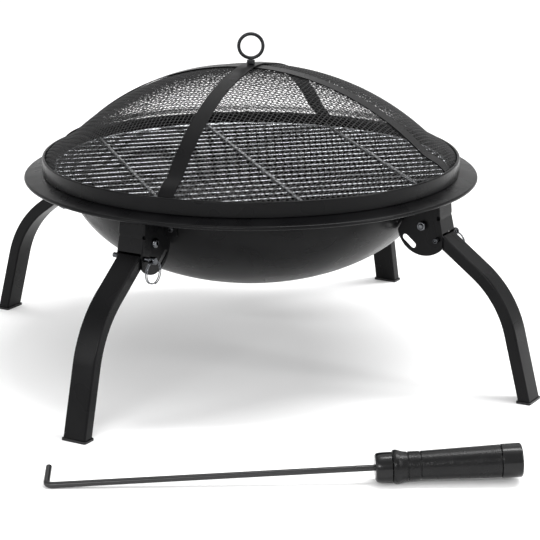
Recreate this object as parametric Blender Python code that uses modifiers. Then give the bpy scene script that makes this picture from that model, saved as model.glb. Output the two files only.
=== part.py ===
"""Folding-leg fire pit with spark lid, cooking grate and poker, at rest, in metres."""

import math

import bmesh
import bpy
from mathutils import Matrix, Vector

for old in list(bpy.data.objects):
    bpy.data.objects.remove(old, do_unlink=True)

# Clearance between neighbouring pieces, and round a shank in its hole.
GAP = 0.0003
BORE_GAP = 0.0003
# How far the helper blocks run past what they cut, outward and in towards the axis.
CUT_OVER = 0.01
CUT_REACH = 0.05
# Sides of the large turned pieces.
ROUND = 48

# Legs: bent rectangular tube that swings on a pivot in its bracket.
FIRST_LEG = math.radians(-30.63)
LEG_WIDTH = 0.030
LEG_DEPTH = 0.015
LEG_WALL = 0.0015
LEG_CORNER = 0.0022
LEG_SLOPE = math.radians(36.5)
FOOT_SLOPE = math.radians(75.5)
LEG_UPPER = 0.0846
LEG_BEND = 0.125
LEG_LOWER = 0.0831
LEG_TAIL = 0.012
BEND_STEPS = 8
CAP_THICK = 0.003
CAP_PROUD = 0.0015
PLUG_LENGTH = 0.012

# Bowl: pressed sheet, part of an ellipse in section, with a sloping flange and a rolled hem.
BOWL_R = 0.2258
BOWL_DEPTH = 0.1313
BOWL_SHEET = 0.0012
RIM_OVER_PIVOT = 0.035
RIM_BEND = 0.006
FLANGE_SLOPE = math.radians(10)
FLANGE_WIDTH = 0.0542
HEM_R = 0.0025
WALL_STEPS = 5
BOLT_LAND = 0.005

# Bracket: folded channel with round lobes, bolted to the bowl by two tabs.
BRACKET_SHEET = 0.002
LEG_SIDE_GAP = 0.0005
PIVOT_OUT = 0.0202
WEB_TOP_OUT = 0.0200
WEB_NOTCH_OUT = 0.0216
WEB_FOOT_OUT = 0.0255
SIDE_OUT = 0.0260
NOTCH_OVER_PIVOT = 0.0105
NOTCH_SIZE = 0.0025
LOBE_R = 0.034
LOBE_OUT = 0.001
LOBE_DROP = 0.003
SLOT_FROM_PIVOT = 0.0275
SLOT_ANGLE = math.radians(-129.3)
SLOT_TRAVEL = 0.013
SLOT_WIDTH = 0.0078
TAB_REACH = 0.0145
TAB_HEIGHT = 0.021
TAB_OVER_PIVOT = 0.0135

# Bolts and nuts.
BOWL_BOLT_R = 0.002
BOWL_BOLT_HEAD_R = 0.004
BOWL_BOLT_HEAD = 0.0024
BOWL_NUT_ACROSS = 0.007
BOWL_NUT_THICK = 0.0032
PIVOT_R = 0.003
PIVOT_HEAD_R = 0.006
PIVOT_HEAD = 0.004
PIVOT_NUT_ACROSS = 0.010
PIVOT_NUT_THICK = 0.005
BOLT_END = 0.0015
# Chamfer on the ends of pins, bolts and the collar.
POINT_EDGE = 0.0006

# Lock pin with its split pull ring.
PIN_R = 0.003
PIN_FROM_PIVOT = 0.025
PIN_TAIL = 0.008
PIN_HEAD_R = 0.0045
PIN_HEAD = 0.008
PIN_NECK = 0.007
PIN_EYE_R = 0.0025
NOTCH_SLACK = 0.0013
NOTCH_SWEEP = math.radians(30)
RING_WIRE = 0.0008
RING_R = 0.0136
RING_PITCH = 0.0021
RING_STEPS = 12

# Lid: hoop, domed mesh, two crossed straps, lifting ring with its nuts.
HOOP_OVER_GRATE = 0.0132
HOOP_SHEET = 0.0012
HOOP_HEIGHT = 0.019
HOOP_BEAD = 0.0018
HOOP_LIP = 0.004
MESH_ON_LIP = 0.0012
DOME_RISE = 0.1242
DOME_SHEET = 0.001
STRAP_SHEET = 0.0012
STRAP_WIDTH = 0.020
STRAP_STEPS = 12
FIRST_STRAP = math.radians(-22.5)
CROSSING_OUT = 0.040
CROSSING_IN = 0.015
EYE_R = 0.0148
EYE_WIRE = 0.0021
STEM_R = 0.0025
COLLAR_R = 0.005
COLLAR_THICK = 0.005
INNER_NUT_ACROSS = 0.008
INNER_NUT_THICK = 0.004
STEM_END = 0.002

# Cooking grate: wire ring, parallel rods and three supports lying across them.
GRATE_OVER_RIM = 0.0125
GRATE_RING_WIRE = 0.00225
GRATE_ROD = 0.0015
GRATE_ROD_PITCH = 0.0222
GRATE_SUPPORT = 0.002
GRATE_SUPPORT_PITCH = 0.155
GRATE_TURN = math.radians(15.2)
WELD_SINK = 0.0003

# Poker, lying on the floor in front.
POKER_FRONT = 0.4769
POKER_LEFT = 0.2156
POKER_TURN = math.radians(2.6)
POKER_ROD = 0.00345
HOOK_LENGTH = 0.034
HOOK_TURN = math.radians(86.4)
HOOK_LIFT = math.radians(15)
HOOK_BEND = 0.0055
COLLAR_AT = 0.3475
COLLAR_LENGTH = 0.018
HANDLE_COLLAR_R = 0.016
BULGE_R = 0.01815
BULGE_BACK = 0.0035
GRIP_LENGTH = 0.1155
GRIP_FRONT_R = 0.0155
GRIP_REAR_R = 0.0177
GROOVE_AT = 0.0163
GROOVE_PITCH = 0.0135
GROOVE_DEPTH = 0.0008
GROOVE_FLOOR = 0.0003
HANDLE_EDGE = 0.0008
NECK_LENGTH = 0.0085
END_CAP_R = 0.01825
END_CAP_LENGTH = 0.0222
ROD_IN_GRIP = 0.045
SPIGOT_R = 0.008
SPIGOT_LENGTH = 0.010
HANDLE_ROUND = 20

# Sizes that follow from those above.
PIVOT_Z = (
    LEG_UPPER * math.sin(LEG_SLOPE)
    + LEG_BEND * (math.cos(LEG_SLOPE) - math.cos(FOOT_SLOPE))
    + LEG_LOWER * math.sin(FOOT_SLOPE)
)
PIVOT_X = BOWL_R + PIVOT_OUT
RIM_Z = PIVOT_Z + RIM_OVER_PIVOT
RIM_X = BOWL_R + RIM_BEND
BRIM_R = BOWL_R + FLANGE_WIDTH
GRATE_R = RIM_X + GRATE_OVER_RIM
HOOP_R = GRATE_R + HOOP_OVER_GRATE
MESH_SEAT_R = HOOP_R - HOOP_LIP + MESH_ON_LIP
INNER_RISE = DOME_RISE - DOME_SHEET
DOME_R = (MESH_SEAT_R**2 + INNER_RISE**2) / INNER_RISE / 2 + DOME_SHEET
BRACKET_IN = LEG_WIDTH / 2 + LEG_SIDE_GAP
BRACKET_OUT = BRACKET_IN + BRACKET_SHEET
FACET = BOWL_R * (1 - math.cos(math.pi / ROUND))
PIN_X = PIVOT_X + PIN_FROM_PIVOT * math.cos(LEG_SLOPE)
PIN_Z = PIVOT_Z - PIN_FROM_PIVOT * math.sin(LEG_SLOPE)
PIN_EYE = BRACKET_OUT + PIN_NECK + PIN_HEAD / 2
FOOT_OUT = (
    LEG_UPPER * math.cos(LEG_SLOPE)
    + LEG_BEND * (math.sin(FOOT_SLOPE) - math.sin(LEG_SLOPE))
    + (LEG_LOWER - CAP_THICK / math.sin(FOOT_SLOPE)) * math.cos(FOOT_SLOPE)
)
CAP_HALF_DEPTH = LEG_DEPTH / 2 / math.sin(FOOT_SLOPE) + CAP_PROUD
CAP_HALF_WIDTH = LEG_WIDTH / 2 + CAP_PROUD
CORNERS = ("front_right", "back_right", "back_left", "front_left")
AZIMUTHS = [FIRST_LEG + math.radians(90) * turn for turn in range(4)]
BACK_REACH = max(
    (PIVOT_X + FOOT_OUT + CAP_HALF_DEPTH) * math.sin(azimuth) + CAP_HALF_WIDTH * abs(math.cos(azimuth))
    for azimuth in AZIMUTHS
)
PIT_Y = (POKER_FRONT - BACK_REACH) / 2


def wall_r(z, out=0.0):
    """Radius of the bowl's outer face at this height, moved outward."""
    drop = min(max((RIM_Z - z) / (BOWL_DEPTH + out), 0.0), 1.0)
    return (BOWL_R + out) * math.sqrt(1 - drop * drop)


def flange_z(radius, lift=0.0):
    """Height of the flange's upper face at this radius, moved along its normal."""
    bend = RIM_BEND + BOWL_SHEET
    start_r = RIM_X + bend * math.sin(FLANGE_SLOPE)
    start_z = RIM_Z + bend * math.cos(FLANGE_SLOPE)
    return start_z - (radius - start_r) * math.tan(FLANGE_SLOPE) + lift / math.cos(FLANGE_SLOPE)


def arc(centre_x, centre_z, radius, start, end, steps):
    """Points of an arc from one angle to another, both ends included."""
    angles = [start + (end - start) * step / steps for step in range(steps + 1)]
    return [(centre_x + radius * math.cos(a), centre_z + radius * math.sin(a)) for a in angles]


def collection(name, hidden, parent=None):
    made = bpy.data.collections.new(name)
    (parent or bpy.context.scene.collection).children.link(made)
    made.hide_render = hidden
    return made


PIT = collection("folding_fire_pit", False)
CUTTERS = collection("cutters", True)


def paint(name, shade, roughness, metallic):
    made = bpy.data.materials.new(name)
    made.use_nodes = True
    shader = made.node_tree.nodes["Principled BSDF"]
    shader.inputs["Base Color"].default_value = (shade, shade, shade, 1)
    shader.inputs["Roughness"].default_value = roughness
    shader.inputs["Metallic"].default_value = metallic
    made.diffuse_color = (shade, shade, shade, 1)
    return made


def helper(name, mesh, home=CUTTERS):
    """An object that only shapes others."""
    made = bpy.data.objects.new(name, mesh)
    home.objects.link(made)
    made.hide_render = True
    made.display_type = "WIRE"
    return made


def piece(name, mesh, material, parent=None, location=(0, 0, 0), rotation=(0, 0, 0)):
    """One sub-part of the object."""
    made = bpy.data.objects.new(name, mesh)
    PIT.objects.link(made)
    made.parent = parent
    made.location = location
    made.rotation_euler = rotation
    if not mesh.materials:
        mesh.materials.append(material)
    return made


def station(name, parent=None, location=(0, 0, 0), rotation=(0, 0, 0)):
    made = bpy.data.objects.new(name, None)
    made.empty_display_size = 0.02
    PIT.objects.link(made)
    made.parent = parent
    made.location = location
    made.rotation_euler = rotation
    return made


def baked(obj, smooth_under=35):
    """The evaluated shape of an object as a mesh of its own, closed and facing out."""
    bpy.context.view_layer.update()
    mesh = bpy.data.meshes.new_from_object(obj.evaluated_get(bpy.context.evaluated_depsgraph_get()))
    mesh.name = obj.name
    shape = bmesh.new()
    shape.from_mesh(mesh)
    bmesh.ops.remove_doubles(shape, verts=shape.verts, dist=1e-6)
    bmesh.ops.recalc_face_normals(shape, faces=shape.faces)
    shape.to_mesh(mesh)
    shape.free()
    mesh.polygons.foreach_set("use_smooth", [True] * len(mesh.polygons))
    mesh.set_sharp_from_angle(angle=math.radians(smooth_under))
    return mesh


def boolean(obj, operation, other):
    """Adds a Boolean with one object, or with every object of a collection."""
    made = obj.modifiers.new(operation.title(), "BOOLEAN")
    made.operation = operation
    made.solver = "EXACT"
    if isinstance(other, bpy.types.Collection):
        made.operand_type = "COLLECTION"
        made.collection = other
    else:
        made.object = other
    return obj


def turned(name, profile, steps=ROUND, home=CUTTERS):
    """A profile of (radius, height) points turned about Z. It runs down the outer side."""
    mesh = bpy.data.meshes.new(name)
    last = len(profile) - 1
    edges = [(step, step + 1) for step in range(last)]
    if profile[0][0] > 0:
        edges.append((last, 0))
    mesh.from_pydata([(radius, 0, z) for radius, z in profile], edges, [])
    made = helper(name, mesh, home)
    screw = made.modifiers.new("Turn", "SCREW")
    screw.steps = steps
    screw.render_steps = steps
    screw.use_merge_vertices = True
    screw.merge_threshold = 1e-5
    return made


def slab(name, outline, low, high, home=CUTTERS):
    """An outline of (x, z) points given thickness from y = low to y = high."""
    count = len(outline)
    points = [(x, low, z) for x, z in outline] + [(x, high, z) for x, z in outline]
    faces = [tuple(range(count)), tuple(reversed(range(count, 2 * count)))]
    for here in range(count):
        there = (here + 1) % count
        faces.append((here, here + count, there + count, there))
    mesh = bpy.data.meshes.new(name)
    mesh.from_pydata(points, [], faces)
    shape = bmesh.new()
    shape.from_mesh(mesh)
    bmesh.ops.recalc_face_normals(shape, faces=shape.faces)
    shape.to_mesh(mesh)
    shape.free()
    return helper(name, mesh, home)


def rod(name, start, end, radius, sides=12, home=CUTTERS):
    """A straight round bar between two points."""
    start, end = Vector(start), Vector(end)
    along = end - start
    place = Matrix.Translation((start + end) / 2) @ along.to_track_quat("Z", "Y").to_matrix().to_4x4()
    shape = bmesh.new()
    bmesh.ops.create_cone(
        shape,
        cap_ends=True,
        segments=sides,
        radius1=radius,
        radius2=radius,
        depth=along.length,
        matrix=place,
    )
    mesh = bpy.data.meshes.new(name)
    shape.to_mesh(mesh)
    shape.free()
    return helper(name, mesh, home)


def wire(name, points, radius, resolution, closed=False):
    """A round wire bent along a line of points."""
    curve = bpy.data.curves.new(name, "CURVE")
    curve.dimensions = "3D"
    curve.bevel_depth = radius
    curve.bevel_resolution = resolution
    curve.use_fill_caps = True
    spline = curve.splines.new("POLY")
    spline.points.add(len(points) - 1)
    for point, place in zip(spline.points, points):
        point.co = (*place, 1)
    spline.use_cyclic_u = closed
    bent = helper(name + "_line", curve)
    mesh = baked(bent)
    bpy.data.objects.remove(bent)
    return helper(name, mesh)


def nut(name, across, thick, bore, sides=12):
    """A hex nut from z = 0 up, with a bore."""
    body = rod(name, (0, 0, 0), (0, 0, thick), across / 2 / math.cos(math.radians(30)), 6)
    boolean(body, "DIFFERENCE", rod(name + "_bore", (0, 0, -CUT_OVER), (0, 0, thick + CUT_OVER), bore, sides))
    return baked(body)


black_coat = paint("black_coated_steel", 0.020, 0.45, 0.0)
mesh_coat = paint("black_woven_mesh", 0.030, 0.55, 0.0)
zinc = paint("zinc_plated_steel", 0.45, 0.35, 1.0)
dark_hardware = paint("black_oxide_steel", 0.035, 0.35, 0.6)
chrome = paint("chromed_wire", 0.65, 0.15, 1.0)
plastic = paint("black_textured_plastic", 0.022, 0.60, 0.0)

# The pit's axis and the four leg stations round it: X points out, Z up.
pit_axis = station("pit_axis", None, (0, PIT_Y, 0))
stations = [
    station("leg_station_" + corner, pit_axis, (0, 0, 0), (0, 0, azimuth))
    for corner, azimuth in zip(CORNERS, AZIMUTHS)
]

# Where the tab bolts go through the wall, seen from a leg station.
BOLT_Z = PIVOT_Z + TAB_OVER_PIVOT
BOLT_SIDE = BRACKET_OUT + TAB_REACH / 2
BOLT_TURN = math.asin(BOLT_SIDE / wall_r(BOLT_Z))
BOLT_TILT = math.atan2((RIM_Z - BOLT_Z) / BOWL_DEPTH**2, wall_r(BOLT_Z) / BOWL_R**2)


def bolt_place(side):
    """Location and rotation of a tab bolt, with its Z along the wall's outward normal."""
    turn = side * BOLT_TURN
    radius = wall_r(BOLT_Z)
    location = (radius * math.cos(turn), radius * math.sin(turn), BOLT_Z)
    return location, (0, math.radians(90) + BOLT_TILT, turn)


# Bowl: up the inner face, over the rim, round the hem, back under the flange and down the outer face.
bend = RIM_BEND + BOWL_SHEET
flat = math.radians(90) - FLANGE_SLOPE
hem_x = BRIM_R - HEM_R
hem_z = flange_z(hem_x) - HEM_R / math.cos(FLANGE_SLOPE)
tuck = math.acos((HEM_R - BOWL_SHEET) / HEM_R)
bolt_band = [math.acos((RIM_Z - z) / BOWL_DEPTH) for z in (BOLT_Z - BOLT_LAND, BOLT_Z + BOLT_LAND)]
quarter = [bolt_band[0] * step / WALL_STEPS for step in range(WALL_STEPS)]
quarter += bolt_band + [math.radians(90)]
inner_wall = [
    ((BOWL_R - BOWL_SHEET) * math.sin(a), RIM_Z - (BOWL_DEPTH - BOWL_SHEET) * math.cos(a)) for a in quarter
]
outer_wall = [(BOWL_R * math.sin(a), RIM_Z - BOWL_DEPTH * math.cos(a)) for a in quarter]
profile = inner_wall[:-1]
profile += arc(RIM_X, RIM_Z, bend, math.pi, flat, 4)
profile += arc(hem_x, hem_z, HEM_R, flat, flat + tuck - 2 * math.pi, 7)
profile += arc(RIM_X, RIM_Z, RIM_BEND, flat, math.pi, 3)
profile += list(reversed(outer_wall[:-1]))
bowl = turned("bowl_blank", profile)
bolt_holes = collection("bolt_holes", True, CUTTERS)
drill = rod("bolt_drill", (0, 0, -CUT_OVER), (0, 0, CUT_OVER), BOWL_BOLT_R + BORE_GAP, 10).data
for leg_station in stations:
    for side in (-1, 1):
        hole = helper("bolt_hole", drill, bolt_holes)
        hole.parent = leg_station
        hole.location, hole.rotation_euler = bolt_place(side)
bowl.parent = pit_axis
boolean(bowl, "DIFFERENCE", bolt_holes)
bowl_mesh = baked(bowl)
fire_bowl = piece("fire_bowl", bowl_mesh, black_coat, pit_axis)

# Bracket: the side outline over the full width, with the room for the leg cut out behind the web.
web_top = PIVOT_X + WEB_TOP_OUT
web_notch = PIVOT_X + WEB_NOTCH_OUT
web_foot = PIVOT_X + WEB_FOOT_OUT
side_x = PIVOT_X + SIDE_OUT
notch_z = PIVOT_Z + NOTCH_OVER_PIVOT
lobe_x = PIVOT_X + LOBE_OUT
lobe_z = PIVOT_Z - LOBE_DROP


def under_flange(x):
    """Height just under the flange, with clearance for its flat sides too."""
    return flange_z(x + FACET, -BOWL_SHEET - GAP)


def beside_wall(radius):
    """Distance from the axis, along a side plate, of a circle this wide."""
    return math.sqrt(radius**2 - BRACKET_IN**2)


def over_leg(x):
    """Height of the leg's upper face with clearance."""
    rise = (LEG_DEPTH / 2 + GAP) / math.cos(LEG_SLOPE)
    return PIVOT_Z + rise - (x - PIVOT_X) * math.tan(LEG_SLOPE)


web_bottom = over_leg(web_foot - BRACKET_SHEET)
lobe_start = -math.acos((side_x - lobe_x) / LOBE_R)
outline = [(web_top, under_flange(web_top)), (web_notch, notch_z), (web_foot, web_bottom)]
for x, z in arc(lobe_x, lobe_z, LOBE_R, lobe_start, -math.pi, 12):
    outline.append((max(x, beside_wall(wall_r(z, GAP))), z))
for step in range(1, 6):
    z = lobe_z + (RIM_Z - lobe_z) * step / 6
    outline.append((beside_wall(wall_r(z, GAP)), z))
for x, z in arc(RIM_X, RIM_Z, RIM_BEND - GAP, math.pi, flat, 3):
    outline.append((beside_wall(x), min(z, under_flange(x))))
sides = slab("bracket_blank", outline, -BRACKET_OUT, BRACKET_OUT)
lean = (web_top - web_notch) / (under_flange(web_top) - notch_z)
room_top = RIM_Z + 2 * CUT_OVER
room = [
    (web_notch - BRACKET_SHEET + lean * (room_top - notch_z), room_top),
    (web_notch - BRACKET_SHEET, notch_z),
    (web_foot - BRACKET_SHEET, web_bottom),
    (web_foot + 2 * CUT_OVER, web_bottom),
    (web_foot + 2 * CUT_OVER, lobe_z - LOBE_R - CUT_OVER),
    (BOWL_R - CUT_REACH, lobe_z - LOBE_R - CUT_OVER),
    (BOWL_R - CUT_REACH, room_top),
]
boolean(sides, "DIFFERENCE", slab("leg_room", room, -BRACKET_IN, BRACKET_IN))
through = BRACKET_OUT + CUT_OVER
bracket_cuts = collection("bracket_cuts", True, CUTTERS)
rod(
    "pivot_hole",
    (PIVOT_X, -through, PIVOT_Z),
    (PIVOT_X, through, PIVOT_Z),
    PIVOT_R + BORE_GAP,
    12,
    bracket_cuts,
)
rod("pin_hole", (PIN_X, -through, PIN_Z), (PIN_X, through, PIN_Z), PIN_R + BORE_GAP, 12, bracket_cuts)
slot_x = PIVOT_X + SLOT_FROM_PIVOT * math.cos(SLOT_ANGLE)
slot_z = PIVOT_Z + SLOT_FROM_PIVOT * math.sin(SLOT_ANGLE)
reach_x = -SLOT_TRAVEL / 2 * math.sin(SLOT_ANGLE)
reach_z = SLOT_TRAVEL / 2 * math.cos(SLOT_ANGLE)
slot = arc(slot_x + reach_x, slot_z + reach_z, SLOT_WIDTH / 2, SLOT_ANGLE, SLOT_ANGLE + math.pi, 6)
slot += arc(
    slot_x - reach_x,
    slot_z - reach_z,
    SLOT_WIDTH / 2,
    SLOT_ANGLE + math.pi,
    SLOT_ANGLE + 2 * math.pi,
    6,
)
slab("slot", slot, -through, through, bracket_cuts)
for side in (-1, 1):
    rod(
        "fold_notch",
        (web_notch - BRACKET_SHEET - NOTCH_SIZE / 2, side * BRACKET_OUT, notch_z),
        (web_notch + CUT_OVER, side * BRACKET_OUT, notch_z),
        NOTCH_SIZE,
        4,
        bracket_cuts,
    )
tab_low = BOLT_Z - TAB_HEIGHT / 2
tab_levels = [tab_low + TAB_HEIGHT * step / 3 for step in range(4)]
strip_profile = [(wall_r(z, GAP + BRACKET_SHEET), z) for z in reversed(tab_levels)]
strip_profile += [(wall_r(z, GAP), z) for z in tab_levels]
tabs = collection("tabs", True, CUTTERS)
for side in (-1, 1):
    strip = turned("tab_strip", strip_profile, 120)
    near = side * (BRACKET_IN + BRACKET_SHEET / 2)
    far = side * (BRACKET_OUT + TAB_REACH)
    block = [
        (BOWL_R - CUT_REACH, tab_low - CUT_OVER),
        (BOWL_R + CUT_REACH, tab_low - CUT_OVER),
        (BOWL_R + CUT_REACH, tab_low + TAB_HEIGHT + CUT_OVER),
        (BOWL_R - CUT_REACH, tab_low + TAB_HEIGHT + CUT_OVER),
    ]
    kept = slab("tab_block", block, min(near, far), max(near, far))
    boolean(kept, "INTERSECT", strip)
    tab = helper("tab", baked(kept), tabs)
    hole = helper("tab_hole", drill, bracket_cuts)
    hole.location, hole.rotation_euler = bolt_place(side)
boolean(sides, "UNION", tabs)
boolean(sides, "DIFFERENCE", bracket_cuts)
bracket_mesh = baked(sides)

# Tab bolts and nuts, with Z along the wall's outward normal and z = 0 on its outer face.
bolt_seat = BRACKET_SHEET + 2 * GAP
nut_seat = BOWL_SHEET + FACET + 2 * GAP
bolt_tip = nut_seat + BOWL_NUT_THICK + BOLT_END
bowl_bolt_mesh = baked(
    turned(
        "bowl_bolt_shape",
        [
            (0, bolt_seat + BOWL_BOLT_HEAD),
            (BOWL_BOLT_HEAD_R * 0.6, bolt_seat + BOWL_BOLT_HEAD),
            (BOWL_BOLT_HEAD_R, bolt_seat + BOWL_BOLT_HEAD * 0.4),
            (BOWL_BOLT_HEAD_R, bolt_seat),
            (BOWL_BOLT_R, bolt_seat),
            (BOWL_BOLT_R, -bolt_tip),
            (0, -bolt_tip),
        ],
        10,
    )
)
bowl_nut_mesh = nut("bowl_nut_shape", BOWL_NUT_ACROSS, BOWL_NUT_THICK, BOWL_BOLT_R + BORE_GAP, 10)
bowl_nut_mesh.transform(Matrix.Translation((0, 0, -nut_seat - BOWL_NUT_THICK)))

# Pivot bolt and nut, with Z along the pivot and z = 0 in the middle of the bracket.
pivot_seat = BRACKET_OUT + GAP
pivot_tip = pivot_seat + PIVOT_NUT_THICK + BOLT_END
pivot_bolt_mesh = baked(
    turned(
        "pivot_bolt_shape",
        [
            (0, pivot_seat + PIVOT_HEAD),
            (PIVOT_HEAD_R * 0.55, pivot_seat + PIVOT_HEAD),
            (PIVOT_HEAD_R * 0.9, pivot_seat + PIVOT_HEAD * 0.7),
            (PIVOT_HEAD_R, pivot_seat + PIVOT_HEAD * 0.3),
            (PIVOT_HEAD_R, pivot_seat),
            (PIVOT_R, pivot_seat),
            (PIVOT_R, POINT_EDGE - pivot_tip),
            (PIVOT_R - POINT_EDGE, -pivot_tip),
            (0, -pivot_tip),
        ],
        12,
    )
)
pivot_nut_mesh = nut("pivot_nut_shape", PIVOT_NUT_ACROSS, PIVOT_NUT_THICK, PIVOT_R + BORE_GAP)
pivot_nut_mesh.transform(Matrix.Translation((0, 0, -pivot_seat - PIVOT_NUT_THICK)))


def leg_outline(half, tail, foot_z):
    """Both faces of the bent tube, this far either side of its centre line, seen from the pivot."""
    faces = []
    for side in (1, -1):
        points = []
        slopes = [LEG_SLOPE]
        slopes += [LEG_SLOPE + (FOOT_SLOPE - LEG_SLOPE) * step / BEND_STEPS for step in range(BEND_STEPS + 1)]
        for index, slope in enumerate(slopes):
            x = LEG_UPPER * math.cos(LEG_SLOPE) + LEG_BEND * (math.sin(slope) - math.sin(LEG_SLOPE))
            z = -LEG_UPPER * math.sin(LEG_SLOPE) - LEG_BEND * (math.cos(LEG_SLOPE) - math.cos(slope))
            if index == 0:
                x = -tail * math.cos(LEG_SLOPE)
                z = tail * math.sin(LEG_SLOPE)
            points.append((x + side * half * math.sin(slope), z + side * half * math.cos(slope)))
        x, z = points[-1]
        points.append((x + (z - foot_z) / math.tan(FOOT_SLOPE), foot_z))
        faces.append(points)
    return faces[0] + list(reversed(faces[1]))


# Leg, seen from its pivot: the long edges are rounded, then the tube is hollowed and drilled.
foot_cut = CAP_THICK + GAP - PIVOT_Z
leg_shape = leg_outline(LEG_DEPTH / 2, LEG_TAIL, foot_cut)
leg = slab("leg_blank", leg_shape, -LEG_WIDTH / 2, LEG_WIDTH / 2)
count = len(leg_shape)
ends = {count // 2 - 1, count - 1}
shape = bmesh.new()
shape.from_mesh(leg.data)
shape.verts.ensure_lookup_table()
long_edges = []
for here in range(count):
    if here in ends:
        continue
    for ring in (0, count):
        long_edges.append(shape.edges.get((shape.verts[here + ring], shape.verts[here + 1 + ring])))
bmesh.ops.bevel(shape, geom=long_edges, offset=LEG_CORNER, segments=2, profile=0.5, affect="EDGES")
shape.to_mesh(leg.data)
shape.free()
hollow = leg_outline(LEG_DEPTH / 2 - LEG_WALL, LEG_TAIL + CUT_OVER, foot_cut - CUT_OVER)
boolean(leg, "DIFFERENCE", slab("leg_hollow", hollow, LEG_WALL - LEG_WIDTH / 2, LEG_WIDTH / 2 - LEG_WALL))
leg_cuts = collection("leg_cuts", True, CUTTERS)
rod("leg_pivot_hole", (0, -LEG_WIDTH, 0), (0, LEG_WIDTH, 0), PIVOT_R + BORE_GAP, 12, leg_cuts)
pin_clear = PIN_R + BORE_GAP
opened = NOTCH_SWEEP - LEG_SLOPE
pin_notch = arc(0, 0, PIN_FROM_PIVOT + pin_clear, opened, -LEG_SLOPE, 4)
pin_notch += arc(
    PIN_FROM_PIVOT * math.cos(LEG_SLOPE),
    -PIN_FROM_PIVOT * math.sin(LEG_SLOPE),
    pin_clear,
    -LEG_SLOPE,
    -LEG_SLOPE - math.pi,
    6,
)[1:-1]
pin_notch += arc(0, 0, PIN_FROM_PIVOT - pin_clear - NOTCH_SLACK, -LEG_SLOPE, opened, 4)
slab("pin_notch", pin_notch, -LEG_WIDTH, LEG_WIDTH, leg_cuts)
boolean(leg, "DIFFERENCE", leg_cuts)
leg_mesh = baked(leg)

# Foot cap, seen from the pivot: a plate on the floor with a plug up inside the tube.
cap_box = [
    (FOOT_OUT - CAP_HALF_DEPTH, -PIVOT_Z),
    (FOOT_OUT + CAP_HALF_DEPTH, -PIVOT_Z),
    (FOOT_OUT + CAP_HALF_DEPTH, CAP_THICK - PIVOT_Z),
    (FOOT_OUT - CAP_HALF_DEPTH, CAP_THICK - PIVOT_Z),
]
cap = slab("cap_blank", cap_box, -CAP_HALF_WIDTH, CAP_HALF_WIDTH)
upright = []
for edge in cap.data.edges:
    upright.append(abs(cap.data.vertices[edge.vertices[0]].co.z - cap.data.vertices[edge.vertices[1]].co.z))
shape = bmesh.new()
shape.from_mesh(cap.data)
shape.edges.ensure_lookup_table()
corner_edges = [shape.edges[index] for index, rise in enumerate(upright) if rise > CAP_THICK / 2]
bmesh.ops.bevel(shape, geom=corner_edges, offset=LEG_CORNER, segments=2, profile=0.5, affect="EDGES")
shape.to_mesh(cap.data)
shape.free()
plug_half = (LEG_DEPTH / 2 - LEG_WALL - GAP) / math.sin(FOOT_SLOPE)
plug_low = CAP_THICK / 2 - PIVOT_Z
plug_top = CAP_THICK + PLUG_LENGTH - PIVOT_Z
drift = 1 / math.tan(FOOT_SLOPE)
plug_axis = FOOT_OUT + (CAP_THICK - PIVOT_Z) * drift
plug = [
    (plug_axis - plug_low * drift - plug_half, plug_low),
    (plug_axis - plug_low * drift + plug_half, plug_low),
    (plug_axis - plug_top * drift + plug_half, plug_top),
    (plug_axis - plug_top * drift - plug_half, plug_top),
]
plug_side = LEG_WIDTH / 2 - LEG_WALL - GAP
boolean(cap, "UNION", slab("cap_plug", plug, -plug_side, plug_side))
cap_mesh = baked(cap)

# Lock pin, with Z along the pin and z = 0 in the middle of the bracket, and its eye across the head.
pin_tip = BRACKET_OUT + PIN_TAIL
head_low = PIN_EYE - PIN_HEAD / 2
head_top = PIN_EYE + PIN_HEAD / 2
pin = turned(
    "pin_blank",
    [
        (0, head_top),
        (PIN_HEAD_R - POINT_EDGE, head_top),
        (PIN_HEAD_R, head_top - POINT_EDGE),
        (PIN_HEAD_R, head_low),
        (PIN_R, head_low),
        (PIN_R, POINT_EDGE - pin_tip),
        (PIN_R - POINT_EDGE, -pin_tip),
        (0, -pin_tip),
    ],
    12,
)
boolean(pin, "DIFFERENCE", rod("pin_eye", (-CUT_OVER, 0, PIN_EYE), (CUT_OVER, 0, PIN_EYE), PIN_EYE_R, 12))
pin_mesh = baked(pin)

# Split pull ring, seen from the pin's eye: two turns of wire hanging in the X-Z plane.
ring_points = []
for step in range(2 * RING_STEPS + 1):
    angle = math.radians(-90) + 2 * math.pi * step / RING_STEPS
    along = RING_PITCH * (step / RING_STEPS - 1)
    ring_points.append((RING_R * math.cos(angle), along, GAP - RING_R + RING_R * math.sin(angle)))
ring_mesh = wire("ring_shape", ring_points, RING_WIRE, 1).data

sideways = (math.radians(-90), 0, 0)
for corner, leg_station in zip(CORNERS, stations):
    piece("leg_bracket_" + corner, bracket_mesh, black_coat, leg_station)
    for side, hand in ((-1, "a"), (1, "b")):
        location, rotation = bolt_place(side)
        piece("bowl_bolt_" + corner + "_" + hand, bowl_bolt_mesh, dark_hardware, leg_station, location, rotation)
        piece("bowl_nut_" + corner + "_" + hand, bowl_nut_mesh, zinc, leg_station, location, rotation)
    pivot = station("leg_pivot_" + corner, leg_station, (PIVOT_X, 0, PIVOT_Z))
    piece("pivot_bolt_" + corner, pivot_bolt_mesh, zinc, pivot, (0, 0, 0), sideways)
    piece("pivot_nut_" + corner, pivot_nut_mesh, zinc, pivot, (0, 0, 0), sideways)
    piece("leg_" + corner, leg_mesh, black_coat, pivot)
    piece("foot_cap_" + corner, cap_mesh, plastic, pivot)
    pin_axis = station("pin_axis_" + corner, leg_station, (PIN_X, 0, PIN_Z))
    piece("lock_pin_" + corner, pin_mesh, zinc, pin_axis, (0, 0, 0), sideways)
    piece("pull_ring_" + corner, ring_mesh, zinc, pin_axis, (0, PIN_EYE, 0))

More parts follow.
